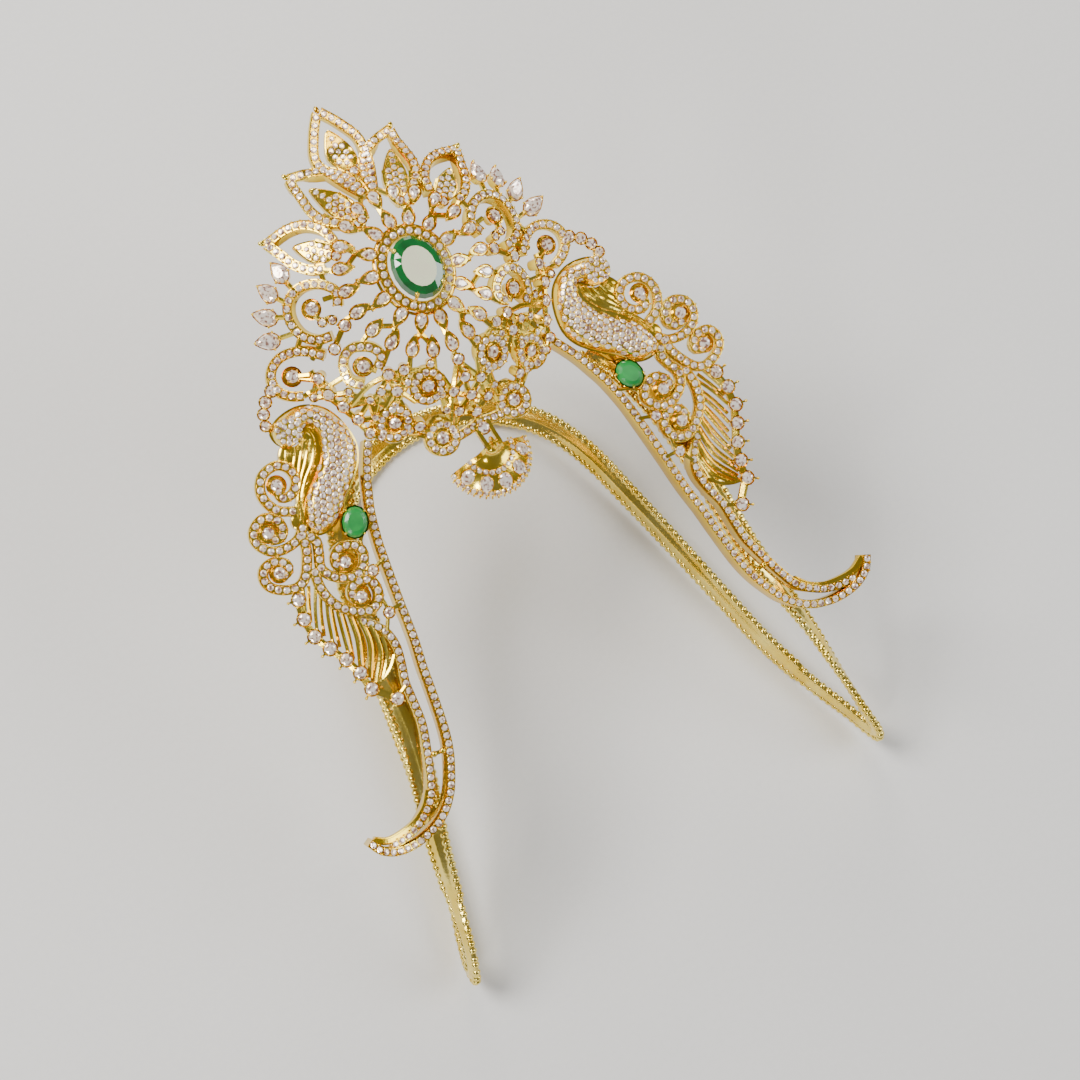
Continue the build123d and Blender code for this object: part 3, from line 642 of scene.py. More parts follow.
# ellipses give half width, half height and the number of spots
crown = {"wire": 0.5, "spoke": 0.55, "bar": 0.55, "join": 4.3, "motif": 2.25, "seed": 0.62, "cup": 2.1,
         "sunk": 0.25, "inner": (7.65, 9.1, 14), "outer": (11.3, 12.9, 22), "halo": (5.3, 6.4, 26),
         "haloRail": {"width": 1.9, "depth": 2.2, "raised": 0.9, "pitch": 1.42},
         "hoop": (6.4, 7.5, 20), "hoopWire": 0.3, "spokes": (0.7, 1.25), "outerSpokes": (1.16, 1.34)}
lug = {"x": 1.15, "y": 46.6, "lift": 1.9, "pin": 0.4, "half": (0.35, 0.55), "reach": 1.5,
       "path": ((50.6, 0.6), (48.2, 1.2), (46.6, 1.9), (45.9, 1.9))}


def onSide(points, side):
    return [(side * p[0],) + tuple(p[1:]) for p in points]


def ellipseSpots(halfW, halfH, count):
    spots = []
    for i in range(count):
        a = 2 * math.pi * i / count
        x, y = halfW * math.sin(a), halfH * math.cos(a)
        spots.append((x, dome["ringY"] + y, math.degrees(math.atan2(y / halfH ** 2, x / halfW ** 2))))
    return spots


def fromCentre(x, y, share):     # a spot of the rings, moved out from their middle or in to it
    return (x * share, dome["ringY"] + (y - dome["ringY"]) * share)


def insideBy(x, y, outline):     # how far a spot lies inside an outline, less than nothing outside
    inside = False
    near = 1e9
    for (ax, ay), (bx, by) in zip(outline, outline[1:] + outline[:1]):
        if (ay > y) != (by > y) and x < (bx - ax) * (y - ay) / (by - ay) + ax:
            inside = not inside
        length = max((bx - ax) ** 2 + (by - ay) ** 2, 1e-9)
        t = min(1, max(0, ((x - ax) * (bx - ax) + (y - ay) * (by - ay)) / length))
        near = min(near, math.hypot(x - ax - t * (bx - ax), y - ay - t * (by - ay)))
    return near if inside else -near


def insetLoop(outline, inset):     # the outline moved inwards, point by point
    count = len(outline)
    area = sum(ax * by - bx * ay for (ax, ay), (bx, by) in zip(outline, outline[1:] + outline[:1]))
    way = 1 if area > 0 else -1
    loop = []
    for i, (x, y) in enumerate(outline):
        ax, ay = outline[i - 1]
        bx, by = outline[(i + 1) % count]
        dx, dy = bx - ax, by - ay
        length = math.hypot(dx, dy)
        loop.append((x - way * inset * dy / length, y + way * inset * dx / length))
    return loop


def pillow(part, outline, lift, base, steps, thick):
    # a raised pad with soft shoulders: steps holds each inset and the height after it
    small = bmesh.new()
    levels = [(0, -thick), (0, 0)]
    for inset, height in steps:
        levels.append((levels[-1][0] + inset, height))
    loops = []
    for inset, height in levels:
        spots = insetLoop(outline, inset)
        verts = [small.verts.new((x, y, lift(x, y) + base + height)) for x, y in spots]
        loops.append([small.edges.new((a, b)) for a, b in zip(verts, verts[1:] + verts[:1])])
    for lower, upper in zip(loops, loops[1:]):
        bmesh.ops.bridge_loops(small, edges=lower + upper)
    for loop in (loops[0], loops[-1]):
        bmesh.ops.triangle_fill(small, use_beauty=True, edges=loop)
    bmesh.ops.recalc_face_normals(small, faces=small.faces)
    joinInto(part["gold"], small)


def paveField(part, outline, lift, raised, pitch, size, turn, margin):
    # rows of small stones with beads between them, over the inside of an outline
    cx = sum(p[0] for p in outline) / len(outline)
    cy = sum(p[1] for p in outline) / len(outline)
    c, s = flatWay(turn)
    reach = int(26 / pitch)
    for row in range(-reach, reach + 1):
        for column in range(-reach, reach + 1):
            for kind, shift in (("gem", 0), ("bead", pitch / 2)):
                u = (column + 0.5 * (row % 2)) * pitch + shift
                v = row * pitch * 0.88 + (shift and pitch * 0.29)
                x, y = cx + c * u - s * v, cy + s * u + c * v
                if insideBy(x, y, outline) < margin - (0.15 if shift else 0):
                    continue
                place = placeAt(Vector((x, y, lift(x, y) + raised)), (c, s, 0), slopeOut(x, y, lift))
                addCopies(part, kind, [place @ Matrix.Scale(size if kind == "gem" else 0.8, 4)])


def buildCrown():
    work = crown
    part = newPart()
    for side in (1, -1):
        for points in crownLeafRails + crownScrolls:
            addRail(part, onSide(points, side))
        for points in crownWires:
            addWire(part, onSide(points, side), work["wire"], raised=-0.45)
        for x, y, size in crownRounds:
            addStone(part, side * x, y, size, turn=side * 20, wall=work["cup"])
            if size > 1.0:
                out = slopeOut(side * x, y, domeLift)
                spot = (side * x, y, domeLift(x, y) - work["sunk"])
                addCopies(part, "dish", [placeAt(spot, (1, 0, 0), out)])
        for x, y in crownSeeds:
            addStone(part, side * x, y, work["seed"], raised=-0.1)
        for x, y in ringMotifs:
            circle = [(side * x + u, y + v) for u, v in ringOutline(10, work["motif"], work["motif"])]
            addRail(part, circle, closed=True, pitch=1.3)
        for x, y, turn in leafTips:
            c, s = flatWay(turn)
            way = (side * c, s, -0.1)
            point = placeAt((side * x, y, domeLift(x, y) - work["sunk"]), (0, 0, 1), way)
            addCopies(part, "claw", [point @ Matrix.Diagonal((1.5, 1.9, 1.5, 1))])
        for x, y, halfLong, halfWide, turn in innerLeaves:
            if side < 0 and not x:
                continue
            addInnerLeaf(part, side * x, y, halfLong, halfWide, turn if side > 0 else 180 - turn)
    for x, y, size in crownCentre:
        addStone(part, x, y, size, raised=0.5)
    addWire(part, crownStem, work["wire"])
    addRail(part, crownFoot, raised=-0.3)
    inner = ellipseSpots(*work["inner"])
    for x, y, out in inner:
        addWire(part, [fromCentre(x, y, share) for share in work["spokes"]], work["spoke"])
    for x, y, out in ellipseSpots(*work["outer"]):     # each outer stone hangs on the nearest inner one
        near = min(inner, key=lambda spot: math.hypot(spot[0] * 1.3 - x, spot[1] - y))
        start, end = work["outerSpokes"]
        addWire(part, [fromCentre(near[0], near[1], start), (x, y), fromCentre(x, y, end)], work["wire"])
    addRail(part, [(x, y) for x, y, out in ellipseSpots(*work["halo"])], closed=True, **work["haloRail"])
    addWire(part, [(x, y) for x, y, out in ellipseSpots(*work["hoop"])], work["hoopWire"], raised=-0.3,
            closed=True)
    for side in (1, -1):
        addLug(part, side)
    pin = [placeAt((x, lug["y"], lug["lift"]), (1, 0, 0), (0, 0, 1))
           for x in (-lug["reach"], lug["reach"])]
    sweep(part["gold"], pin, wireProfile(lug["pin"], 10))
    joinNear(part, [(side * x, y) for x, y, size in crownRounds if y < 75 for side in (1, -1)]
             + [(x, y) for x, y, size in crownCentre]
             + [(side * x, y) for x, y in crownSeeds for side in (1, -1)], work["join"])
    finishPart(part, "crown", gold, nodes=["crest_frame"],
               gemNodes=["crest_round_stones", "halo_stones"])


def joinNear(part, spots, reach):     # short bars between the stones that lie close together
    for i, (ax, ay) in enumerate(spots):
        for bx, by in spots[i + 1:]:
            if math.hypot(ax - bx, ay - by) < reach:
                addWire(part, [(ax, ay), (bx, by)], crown["bar"], raised=-0.75)


def addInnerLeaf(part, x, y, halfLong, halfWide, turn):
    spec = innerLeaf
    outline = dropOutline(x, y, halfLong, halfWide * spec["swell"], turn)
    pillow(part, outline, domeLift, spec["base"], spec["steps"], spec["thick"])
    paveField(part, outline, domeLift, spec["raised"], spec["pitch"], spec["gem"], turn, spec["margin"])
    c, s = flatWay(turn)
    addStone(part, x - c * (halfLong + 0.2), y - s * (halfLong + 0.2), spec["foot"], raised=0.35)


def addLug(part, side):
    places = [placeAt((side * lug["x"], y, w), (0, -1, 0), (0, 0, 1)) for y, w in lug["path"]]
    u, v = lug["half"]
    sweep(part["gold"], places, [(-u, -v), (u, -v), (u, v), (-u, v)])


# claws: reach along the stone, reach across it and size
ringDrop = {"long": 1.25, "wide": 1.3, "high": 1.1, "back": 0.38, "raised": 0.75,
            "claws": ((1.85, 0, 1.0), (0.35, 0.85, 0.75), (0.35, -0.85, 0.75), (-1.45, 0.5, 0.75),
                      (-1.45, -0.5, 0.75))}


def addRingDrop(part, x, y, turn):     # a drop-shaped cup with its stone in the round end
    spec = ringDrop
    out = slopeOut(x, y, domeLift)
    along = Vector((*flatWay(turn), 0))
    place = placeAt(Vector((x, y, domeLift(x, y) + spec["raised"])), along, out)
    addCopies(part, "dropCup", [place])
    stone = place @ Matrix.Translation((-spec["back"], 0, 0.02))
    addCopies(part, "pearGem", [stone @ Matrix.Diagonal((spec["long"], spec["wide"], spec["high"], 1))])
    for reachX, reachY, size in spec["claws"]:
        addCopies(part, "claw", [place @ Matrix.Translation((reachX, reachY, 0.05)) @ Matrix.Scale(size, 4)])


def buildRingPears():     # each stone of the two rings is a piece of its own
    inner = ellipseSpots(*crown["inner"])
    outer = [(x, y, out + 180) for x, y, out in ellipseSpots(*crown["outer"])]
    for i, (x, y, turn) in enumerate(inner + outer):
        part = newPart()
        addRingDrop(part, x, y, turn)
        finishPart(part, f"crestPear{i + 1:02d}", gold, gemNodes=[f"crest_pear_{i + 1:02d}"],
                   quiet=True)
    print("finished the ring stones")


# x, y and turn of the pear stones at the rim, right side
spikes = [(18.8, 87.3, 71), (21.8, 85.3, 54), (23.9, 82, 40), (25.4, 78.3, 18)]
spikeStone = {"long": 2.0, "wide": 2.1, "raised": 0.55}


def buildSpikes():
    part = newPart()
    for side in (1, -1):
        for x, y, turn in spikes:
            addStone(part, side * x, y, spikeStone["long"], kind="pearGem",
                     turn=turn if side > 0 else 180 - turn, width=spikeStone["wide"],
                     raised=spikeStone["raised"])
    finishPart(part, "spikes", gold, gemNodes=["spike_stones"])


# Large green stone at the middle of the crown, held by four claws over the ring of stones.
# arms: each claw's turn; reach: shares of the half axes and the height of its foot, waist and tip
greenOval = {"long": 5.3, "wide": 4.2, "high": 4.1, "lift": 1.9, "table": 1.2, "claw": 0.3,
             "cut": {"table": 0.62, "crown": 0.30, "deep": 0.6, "waist": 0.87},
             "arms": (38, 142, 218, 322),
             "reach": ((1.16, 1.2, -2.4), (1.07, 1.08, 0.1), (0.93, 0.93, 0.75))}


def buildGreenOval():
    spec = greenOval
    part = newPart()
    out = Vector((0, (dome["ringY"] - dome["y"]) / dome["radius"], 1))
    place = placeAt((0, dome["ringY"], domeLift(0, dome["ringY"]) + spec["lift"]), (0, 1, 0), out)
    small = bmesh.new()
    cutStone(ringOutline(20), **spec["cut"])(small)
    bmesh.ops.transform(small, matrix=place @ Matrix.Diagonal((spec["long"], spec["wide"], spec["high"], 1)),
                        verts=small.verts)
    joinInto(part["gems"], small)
    for a in spec["arms"]:
        c, s = flatWay(a)
        stops = [place @ Vector((spec["long"] * u * c, spec["wide"] * v * s, w)) for u, v, w in spec["reach"]]
        path = smoothLine(stops, 0.4)
        sweep(part["gold"], [placeAt(p, t, out) for p, t in zip(path, lineTangents(path))],
              wireProfile(spec["claw"], 8))
        addCopies(part, "claw", [placeAt(stops[-1], (c, s, 0), out)
                                 @ Matrix.Diagonal((1.7, 1.7, 1.0, 1))])
    finishPart(part, "greenOval", gold, gemMaterial=emerald, gemNodes=["green_oval"],
               slots=("gold", "green_stone"))


# Legs: right side; the left one is its mirror image.
leg = {"deep": 4.0, "top": 0.2, "scrollTop": 0.8, "rail": 1.5, "hookStart": 40, "hookRise": 3.0,
       "edge": (1.3, 1.6), "wire": 0.36, "fan": 0.34, "chain": 1.08, "chainBar": 0.72, "bar": 0.4,
       "peg": 0.9, "pegEnds": (-3.7, -0.3), "pegSpots": ((28, 48.6), (25, 53.2))}
legBar = [(29.9, 5.5), (34.4, 6.2)]     # a low bar with two beads, over the hook
barBeads = [(31.4, 5.8), (32.9, 6.0)]
legRails = [
    [(18.1, 56.6), (19.6, 54.2), (20.9, 51.8), (22.1, 49), (23.2, 46.2), (24.4, 41.5), (25.2, 36.5),
     (26.1, 30), (26.8, 24.3), (27.7, 19.5), (28.3, 15.3), (29.3, 9.2), (30.3, 5.5), (31.6, 2.5),
     (33.5, -0.8), (36, -3.3), (39, -4.8), (42.6, -5.4), (46, -4.8), (48.3, -3.2), (49.5, -1.0)],
    [(33.4, 31.4), (31.8, 29.6), (30.4, 27.6), (30, 24.8), (30.6, 21.8), (31.5, 18.7), (31.8, 15.8),
     (32.3, 11.4), (33.7, 7), (35.4, 2.6), (37, -0.2), (40, -2.5), (43, -3.5), (46.4, -3.5)]]
hookEdge = [(36.6, 1.2), (38.4, -0.9), (41, -2.3), (44, -2.7), (46.6, -2.4), (48.7, -1.0)]
legScrolls = [
    [(35.2, 56.8), (35.2, 54.9), (33.3, 54.8), (31.8, 56.4), (32, 58.6), (33.7, 60), (36.3, 59.6),
     (37.8, 57.6), (37.8, 55.3), (36.6, 53.2), (34.1, 51.9)],
    [(40.1, 49.7), (38.6, 49.3), (37.5, 50.3), (37.8, 52.3), (39.6, 53.4), (41.7, 52.5), (42.4, 50.5),
     (41.2, 48.3), (38.9, 47.4), (36.3, 47.7), (34.9, 48.7), (34.2, 49.6)],
    [(41.4, 43.6), (39.9, 44), (39.7, 45.1), (41.1, 46.3), (43.1, 46.2), (44.1, 44.7), (43.7, 42.9),
     (41.7, 41.4), (39.5, 41), (37.7, 42.1), (35.9, 45.1), (35.3, 47.3), (35.1, 48.7)],
    [(30.8, 40.7), (32.4, 40.8), (32.2, 42.3), (30.5, 43.4), (28.2, 42.4), (27.7, 40.7), (29.1, 38.6),
     (31.3, 38.2), (33.8, 39.6), (35, 41.8), (34.2, 44.1), (33.6, 46.1), (34.4, 47.7)],
    [(31.4, 35), (32.5, 34.8), (32.3, 36.3), (30.7, 37.1), (28.7, 36.2), (28.5, 34), (29.6, 32.4),
     (31.4, 32), (33.9, 33.4), (35.9, 35.8), (36.6, 39), (36.1, 42.4)]]
# x, y, size of the round stones; those of the outer chain have a claw that points away
scrollStones = [(35.1, 57.1, 1.0), (40.0, 50.9, 1.0), (41.4, 44.4, 1.0), (31.1, 40.9, 1.0),
                (31.4, 34.6, 1.0), (27.7, 37.5, 0.85), (28.6, 30.2, 0.85)]
chainStones = [(40.8, 39.1, 10), (41.5, 35.9, 0), (41.3, 32.6, -8), (40, 29.7, -16), (38.5, 26.8, -22),
               (37.5, 23.8, -26), (37.1, 20.6, -30), (34.1, 17.1, -30)]
fanWires = [
    [(38.9, 40.9), (39.9, 38.6), (40.8, 36.4)], [(37.2, 39.6), (38.9, 36.6), (40.4, 33.2)],
    [(36.6, 37), (37.9, 33.9), (39, 30.4)], [(35.8, 35.0), (36.7, 31.5), (37.6, 27.6)],
    [(34.6, 33.2), (35.3, 29.0), (36.9, 24.8)], [(33.4, 31.8), (33.9, 27.2), (36.5, 22.3)],
    [(32.2, 29.9), (32.8, 25.4), (35.9, 20.9)], [(31.4, 27.2), (32.2, 24.0), (34.6, 21.0)]]
legWires = [
    [(27.7, 37.5), (24.9, 38.4)], [(28.5, 33.0), (28.5, 30.6), (30.2, 27.6)], [(28.5, 30.4), (26, 30.4)],
    [(27.7, 40.7), (26.7, 43.2), (24, 44.4)], [(37.1, 20.6), (34.6, 21.0), (32.6, 22.0), (31.0, 23.6)],
    [(34.1, 17.1), (31.8, 18.2)], [(31, 65.2), (31.6, 68), (29, 70.7)], [(34.8, 17.6), (36.6, 19.9)]]
crestSpray = [(32.1, 66.4, 0.8), (31.5, 68.2, 0.88), (30.3, 69.8, 0.92), (28.6, 71.0, 0.92)]


def legLift(x, y):
    reach = max(0, (abs(x) - leg["hookStart"]) / 10)
    return leg["top"] + leg["hookRise"] * reach ** 1.7


def scrollLift(x, y):
    return leg["scrollTop"]


def buildSideFrame(name, mirrored):
    part = newPart()
    for points in legRails:
        addRail(part, points, leg["rail"], leg["deep"], legLift, upright=True)
    addRail(part, hookEdge, *leg["edge"], legLift, stones=False, raised=0.15, upright=True)
    for points in legScrolls:
        addRail(part, points, lift=scrollLift)
    for points in legWires:
        addWire(part, points, leg["wire"], scrollLift)
    for points in fanWires:
        addWire(part, points, leg["fan"], scrollLift, raised=-0.5)
    for first, second in zip(fanWires, fanWires[1:]):     # a lower rib between each pair
        between = [((ax + bx) / 2, (ay + by) / 2) for (ax, ay), (bx, by) in zip(first, second)]
        addWire(part, between, leg["fan"], scrollLift, raised=-1.0)
    addWire(part, legBar, leg["bar"], scrollLift, raised=-1.0)
    for x, y in barBeads:
        addCopies(part, "claw", [placeAt((x, y, 0.1), (1, 0, 0), (0, 0, 1))
                                 @ Matrix.Diagonal((2.3, 2.3, 1.2, 1))])
    for x, y, size in scrollStones:
        addStone(part, x, y, size, scrollLift, raised=0.35)
        if size >= 1:
            addCopies(part, "dish", [placeAt((x, y, leg["scrollTop"] - 0.1), (1, 0, 0), (0, 0, 1))])
    for x, y, size in crestSpray:
        addStone(part, x, y, size, scrollLift, raised=0.1)
    for x, y in leg["pegSpots"]:     # pegs on the band's ends
        peg = [placeAt((x, y, w), (0, 0, 1), (1, 0, 0)) for w in leg["pegEnds"]]
        sweep(part["gold"], peg, wireProfile(leg["peg"], 12))
    finishPart(part, name, gold, nodes=["side_frame_left" if mirrored else "side_frame_right"],
               mirrored=mirrored)


def buildSideStones(name, node, mirrored):     # the chain of round stones on the outer edge
    part = newPart()
    for x, y, turn in chainStones:
        addStone(part, x, y, leg["chain"], scrollLift, raised=0.5, longClaw=turn, wall=1.9)
    for (ax, ay, at), (bx, by, bt) in zip(chainStones, chainStones[1:]):
        addWire(part, [(ax, ay), (bx, by)], leg["chainBar"], scrollLift, raised=-0.55)
    finishPart(part, name, gold, gemNodes=[node], mirrored=mirrored)


# Birds: a paved body whose neck curls over to a round head.
bird = {"base": 0.25, "rise": [(0.28, 0.1), (0.25, 1.0), (0.35, 1.75), (0.45, 2.3), (0.5, 2.55)],
        "pitch": 1.16, "gem": 0.555, "turn": -66, "margin": 0.6}
birdOutline = [
    (30.1, 66.6), (27.4, 67.1), (24.8, 66.7), (22.4, 65.2), (20.9, 63), (20.1, 60.3), (19.9, 57.9),
    (20.3, 55.9), (21.3, 54.1), (22.8, 52.5), (24.6, 50.9), (26.6, 49.2), (28.3, 47.6),
    (30.1, 46.6), (32.3, 46.5), (33.8, 47.5), (34.1, 49.5), (33.3, 51.8), (32, 53.6), (30.3, 55.2),
    (28.6, 56.5), (27.1, 58), (26.1, 60), (25.8, 61.8), (26.2, 63.2), (27.6, 62.2), (29.2, 61.5),
    (31, 61.9), (32.1, 63.4), (32, 65.3)]
# rows: how many stones and how far from the middle
birdHead = {"x": 29.6, "y": 63.9, "radius": 2.35, "lift": 0.3, "steps": [(0.18, 0.3), (0.2, 0.12)],
            "deep": 2.2, "rows": ((1, 0), (5, 1.0), (11, 1.85)), "gem": 0.46}
# the smooth channel between head and neck, which runs down the outer side to the tail
mane = {"base": 0.35, "steps": [(0.25, 0.2)], "deep": 1.6, "ridge": 0.26, "raised": 0.6}
birdMane = [(31.4, 62.3), (32.9, 60.1), (31.9, 58.7), (31.5, 57.0), (32.6, 55.2), (33.6, 53.0), (35.6, 51.0),
            (35.6, 49.3), (33.6, 48.6), (32.8, 51.4), (31.3, 53.4), (29.4, 55.0), (27.4, 56.8), (25.9, 58.8),
            (25.2, 61.0), (26.1, 63.5), (27.4, 62.2), (29.2, 61.3)]
maneLines = [[(26.4, 63.2), (26.4, 60.6), (28.0, 57.9), (30.6, 55.6), (32.6, 53.0), (33.6, 50.2)],
             [(27.2, 62.4), (27.6, 60.4), (29.0, 58.4), (31.0, 56.2), (33.1, 53.4), (34.4, 50.6)],
             [(28.2, 61.8), (28.8, 60.2), (30.0, 58.6), (31.1, 57.0)],
             [(29.6, 61.4), (30.2, 59.9), (31.2, 58.6)], [(31.0, 61.4), (31.8, 60.0), (32.0, 58.9)]]


def birdRise(distance):     # height of the body over its base, that far in from the edge
    spent, height = 0, 0
    for inset, after in bird["rise"]:
        if distance < spent + inset:
            return height + (after - height) * (distance - spent) / inset
        spent += inset
        height = after
    return height


def buildBird(name, node, mirrored):
    part = newPart()
    outline = [(p.x, p.y) for p in smoothLine(birdOutline, 0.8, True)]
    pillow(part, outline, flatLift, bird["base"], bird["rise"], 0.2)

    def bodyLift(x, y):
        return bird["base"] + birdRise(max(0, insideBy(x, y, outline)))

    paveField(part, outline, bodyLift, 0.08, bird["pitch"], bird["gem"], bird["turn"], bird["margin"])
    head = birdHead
    ring = [(head["x"] + u, head["y"] + v) for u, v in ringOutline(24, head["radius"], head["radius"])]
    top = bird["base"] + bird["rise"][-1][1] + head["lift"]
    pillow(part, ring, flatLift, top, head["steps"], head["deep"])
    for count, reach in head["rows"]:
        for c, s in ringOutline(count):
            place = placeAt((head["x"] + reach * c, head["y"] + reach * s, top + 0.2), (c, s, 0), (0, 0, 1))
            addCopies(part, "gem", [place @ Matrix.Scale(head["gem"], 4)])
    outline = [(p.x, p.y) for p in smoothLine(birdMane, 0.8, True)]
    pillow(part, outline, flatLift, mane["base"], mane["steps"], mane["deep"])
    for points in maneLines:
        addWire(part, points, mane["ridge"], flatLift, raised=mane["raised"])
    finishPart(part, name, gold, nodes=[node], mirrored=mirrored)


sideGreen = {"x": 26.7, "y": 45.9, "turn": 118, "long": 2.55, "wide": 2.1, "lift": 1.2}


def buildSideGreen(name, node, mirrored):
    spec = sideGreen
    part = newPart()
    addStone(part, spec["x"], spec["y"], spec["long"], scrollLift, raised=spec["lift"] - 0.2, kind="ovalGem",
             turn=spec["turn"], width=spec["wide"], wall=2.0)
    finishPart(part, name, gold, gemMaterial=greenGlass, gemNodes=[node], mirrored=mirrored,
               slots=("gold", "green_stone"))


# Bell: half a bell that hangs from the eye; it is drawn upright about its own axis.
# rows of small stones: reach, height, tilt, count and size
bell = {"wall": 0.8, "high": 5.6, "neck": 1.2, "stem": 0.45, "drop": 8.0, "forward": 0.6, "bail": 0.95,
        "wire": 0.3, "turns": (-68, -34, 0, 34, 68), "stoneAt": (5.75, 2.05), "slant": 52, "spread": 85,
        "stone": (1.42, 1.12, 1.1, 1), "cup": (1.6, 1.3, 1.0, 1), "claw": (1.45, 1.2, 0.1),
        "rows": ((4.05, 3.25, 60, 12, 0.47), (7.02, 0.98, 45, 21, 0.44), (7.36, 0.42, 8, 22, 0.44))}
bellOuter = [(7.3, 0.0), (7.3, 0.5), (7.0, 0.95), (4.2, 3.1), (3.3, 3.35), (2.5, 3.8), (1.9, 4.4),
             (1.45, 5.0), (1.2, 5.6)]
bellInner = [(0, 5.6), (0, 4.8), (0.8, 4.5), (1.6, 3.6), (3.0, 2.7), (6.2, 0.5), (6.5, 0)]


def bellSpot(reach, height, turn, tilt):     # a place on the bell, z axis out of its face
    c, s = flatWay(turn)
    flat, rise = flatWay(tilt)
    return placeAt((reach * s, -reach * c, height), (c, s, 0), (s * flat, -c * flat, rise))


def buildBell():
    spec = bell
    part = newPart()
    small = bmesh.new()
    face = small.faces.new([small.verts.new((x, 0, z)) for x, z in bellOuter + bellInner])
    bmesh.ops.spin(small, geom=[face] + list(face.edges) + list(face.verts), cent=(0, 0, 0),
                   axis=(0, 0, 1), angle=-math.pi, steps=32)
    bmesh.ops.recalc_face_normals(small, faces=small.faces)
    joinInto(part["gold"], small)
    small = bmesh.new()
    back = bellOuter + [(-x, z) for x, z in reversed(bellOuter)]
    face = small.faces.new([small.verts.new((x, 0, z)) for x, z in back])
    made = bmesh.ops.extrude_face_region(small, geom=[face])["geom"]
    moved = [g for g in made if isinstance(g, bmesh.types.BMVert)]
    bmesh.ops.translate(small, vec=(0, -spec["wall"], 0), verts=moved)
    bmesh.ops.recalc_face_normals(small, faces=small.faces)
    joinInto(part["gold"], small)
    u, v, w = spec["claw"]
    for turn in spec["turns"]:
        place = bellSpot(*spec["stoneAt"], turn, spec["slant"]) @ Matrix.Rotation(math.pi / 2, 4, "Z")
        addCopies(part, "ovalGem", [place @ Matrix.Diagonal(spec["stone"])])
        addCopies(part, "cup", [place @ Matrix.Diagonal(spec["cup"])])
        for a in seat["round"]:
            c, s = flatWay(a)
            at = place @ Matrix.Translation((u * c, v * s, w))
            addCopies(part, "claw", [at @ Matrix.Scale(0.75, 4)])
    for reach, height, tilt, count, size in spec["rows"]:
        for i in range(count):
            turn = -spec["spread"] + 2 * spec["spread"] * i / (count - 1)
            place = bellSpot(reach, height, turn, tilt)
            addCopies(part, "gem", [place @ Matrix.Scale(size, 4)])
            half = place @ Matrix.Translation((size * 1.1, size * 0.8, 0.05))
            addCopies(part, "bead", [half, half @ Matrix.Translation((0, -size * 1.6, 0))])
    bmesh.ops.create_uvsphere(part["gold"], u_segments=16, v_segments=10, radius=spec["neck"],
                              matrix=Matrix.Translation((0, -spec["forward"], spec["high"])))
    stem = [placeAt((0, -spec["forward"], z), (0, 0, 1), (1, 0, 0))
            for z in (spec["high"] + 0.6, spec["drop"] - spec["bail"])]
    sweep(part["gold"], stem, wireProfile(spec["stem"], 12))
    loop = []
    for c, s in ringOutline(20):
        spot = (0, spec["bail"] * c - spec["forward"], spec["drop"] + spec["bail"] * s)
        loop.append(placeAt(spot, (0, -s, c), (1, 0, 0)))
    sweep(part["gold"], loop, wireProfile(spec["wire"], 8), closed=True)
    eye = plaqueMatrix @ Vector((0, lug["y"], lug["lift"]))
    hang = Matrix.Translation((0, eye.y + spec["forward"], eye.z - spec["drop"]))
    finishPart(part, "bell", gold, body="bell", nodes=["bell_drop"], gemNodes=["bell_stones"],
               matrix=Matrix.Scale(0.001, 4) @ hang, surface=farBelow)


buildArmBand()
buildCrown()
buildRingPears()
buildSpikes()
buildGreenOval()
for ending, mirrored in (("Right", False), ("Left", True)):
    lower = ending.lower()
    buildSideFrame("sideFrame" + ending, mirrored)
    buildSideStones("sideStones" + ending, "side_stones_" + lower, mirrored)
    buildBird("peacock" + ending, "peacock_" + lower, mirrored)
    buildSideGreen("greenSide" + ending, "green_side_" + lower, mirrored)
buildBell()


# Studio: a pale floor, soft lights, and the camera where the photographer stood.
studio = {"floor": 3.0, "world": (0.56, 0.56, 0.56, 1), "worldStrength": 0.34, "lens": 76.67}
lights = [
    ("keyLight", (-0.45, 0.42, 0.75), 0.45, 12.0, (1.0, 0.97, 0.93)),
    ("fillLight", (0.65, -0.35, 0.6), 0.5, 4.5, (0.93, 0.96, 1.0)),
    ("rimLight", (0.25, 0.75, 0.4), 0.3, 3.0, (1.0, 0.95, 0.88)),
    ("glintLight", (-0.6, -0.5, 0.45), 0.12, 1.6, (1.0, 1.0, 1.0))]
mirrorLight = {"size": 0.11, "power": 0.36, "far": 0.9, "colour": (1.0, 0.88, 0.68)}
camera = {"spot": (-93.6, 65.3, 371.4), "forward": (0.243, -0.0958, -0.9653),
          "right": (0.848, -0.4622, 0.2594)}


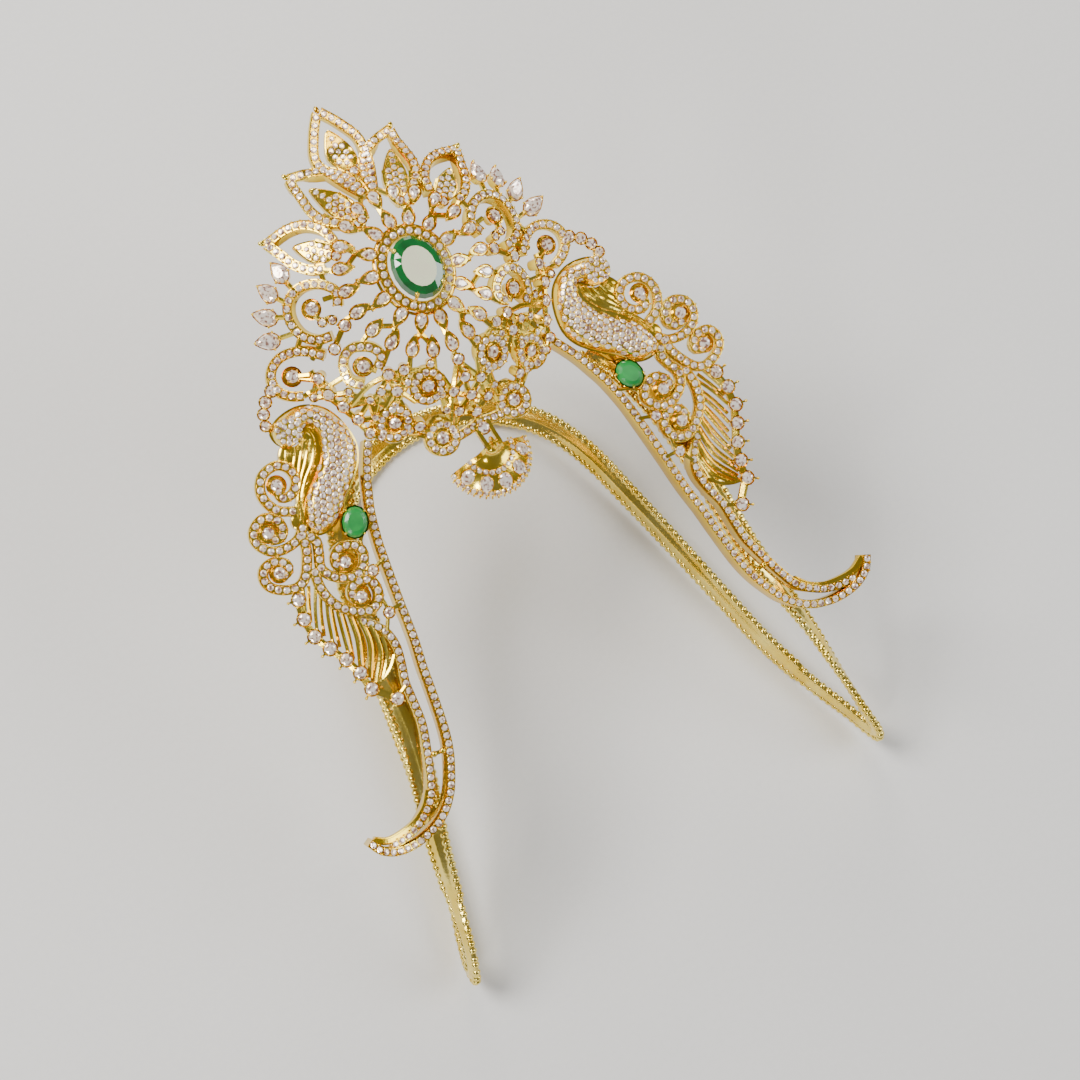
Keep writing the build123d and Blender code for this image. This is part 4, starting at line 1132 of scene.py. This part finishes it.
def addLamp(name, spot, way, size, power, colour):     # a soft square lamp that shines against way
    lamp = bpy.data.lights.new(name, "AREA")
    lamp.size = size
    lamp.energy = power
    lamp.color = colour
    thing = bpy.data.objects.new(name, lamp)
    thing.location = spot
    thing.rotation_euler = way.to_track_quat("Z", "Y").to_euler()
    bpy.context.scene.collection.objects.link(thing)


def buildStudio():
    mesh = bpy.data.meshes.new("floor")
    bm = bmesh.new()
    bmesh.ops.create_grid(bm, x_segments=1, y_segments=1, size=studio["floor"] / 2)
    bmesh.ops.translate(bm, vec=(0, 0, floorZ), verts=bm.verts)
    bm.to_mesh(mesh)
    bm.free()
    floor = bpy.data.objects.new("floor", mesh)
    mesh.materials.append(floorFinish())
    bpy.context.scene.collection.objects.link(floor)
    world = bpy.data.worlds.new("studio")
    world.use_nodes = True
    world.node_tree.nodes["Background"].inputs["Color"].default_value = studio["world"]
    world.node_tree.nodes["Background"].inputs["Strength"].default_value = studio["worldStrength"]
    bpy.context.scene.world = world
    for name, spot, size, power, colour in lights:
        addLamp(name, Vector(spot), Vector(spot), size, power, colour)


def placeMirrorLight():     # stands where the large stone's table mirrors it to the camera
    spec = mirrorLight
    out = Vector((0, (dome["ringY"] - dome["y"]) / dome["radius"], 1)).normalized()
    table = Vector((0, dome["ringY"], domeLift(0, dome["ringY"]) + greenOval["lift"] + greenOval["table"]))
    toCamera = (Vector(camera["spot"]) - table).normalized()
    way = plaqueMatrix.to_3x3() @ (2 * out.dot(toCamera) * out - toCamera).normalized()
    addLamp("mirrorLight", toFrame @ table + way * spec["far"], way, spec["size"], spec["power"],
            spec["colour"])


def placeCamera():
    lens = bpy.data.cameras.new("camera")
    lens.lens = studio["lens"]
    lens.sensor_width = 36
    lens.clip_start = 0.01
    turn = plaqueMatrix.to_3x3()
    forward = (turn @ Vector(camera["forward"])).normalized()
    right = turn @ Vector(camera["right"])
    right = (right - forward * right.dot(forward)).normalized()
    up = right.cross(forward)
    matrix = Matrix((right, up, -forward)).transposed().to_4x4()
    matrix.translation = toFrame @ Vector(camera["spot"])
    eye = bpy.data.objects.new("camera", lens)
    eye.matrix_world = matrix
    bpy.context.scene.collection.objects.link(eye)
    bpy.context.scene.camera = eye


buildStudio()
placeMirrorLight()
placeCamera()
print("studio ready")
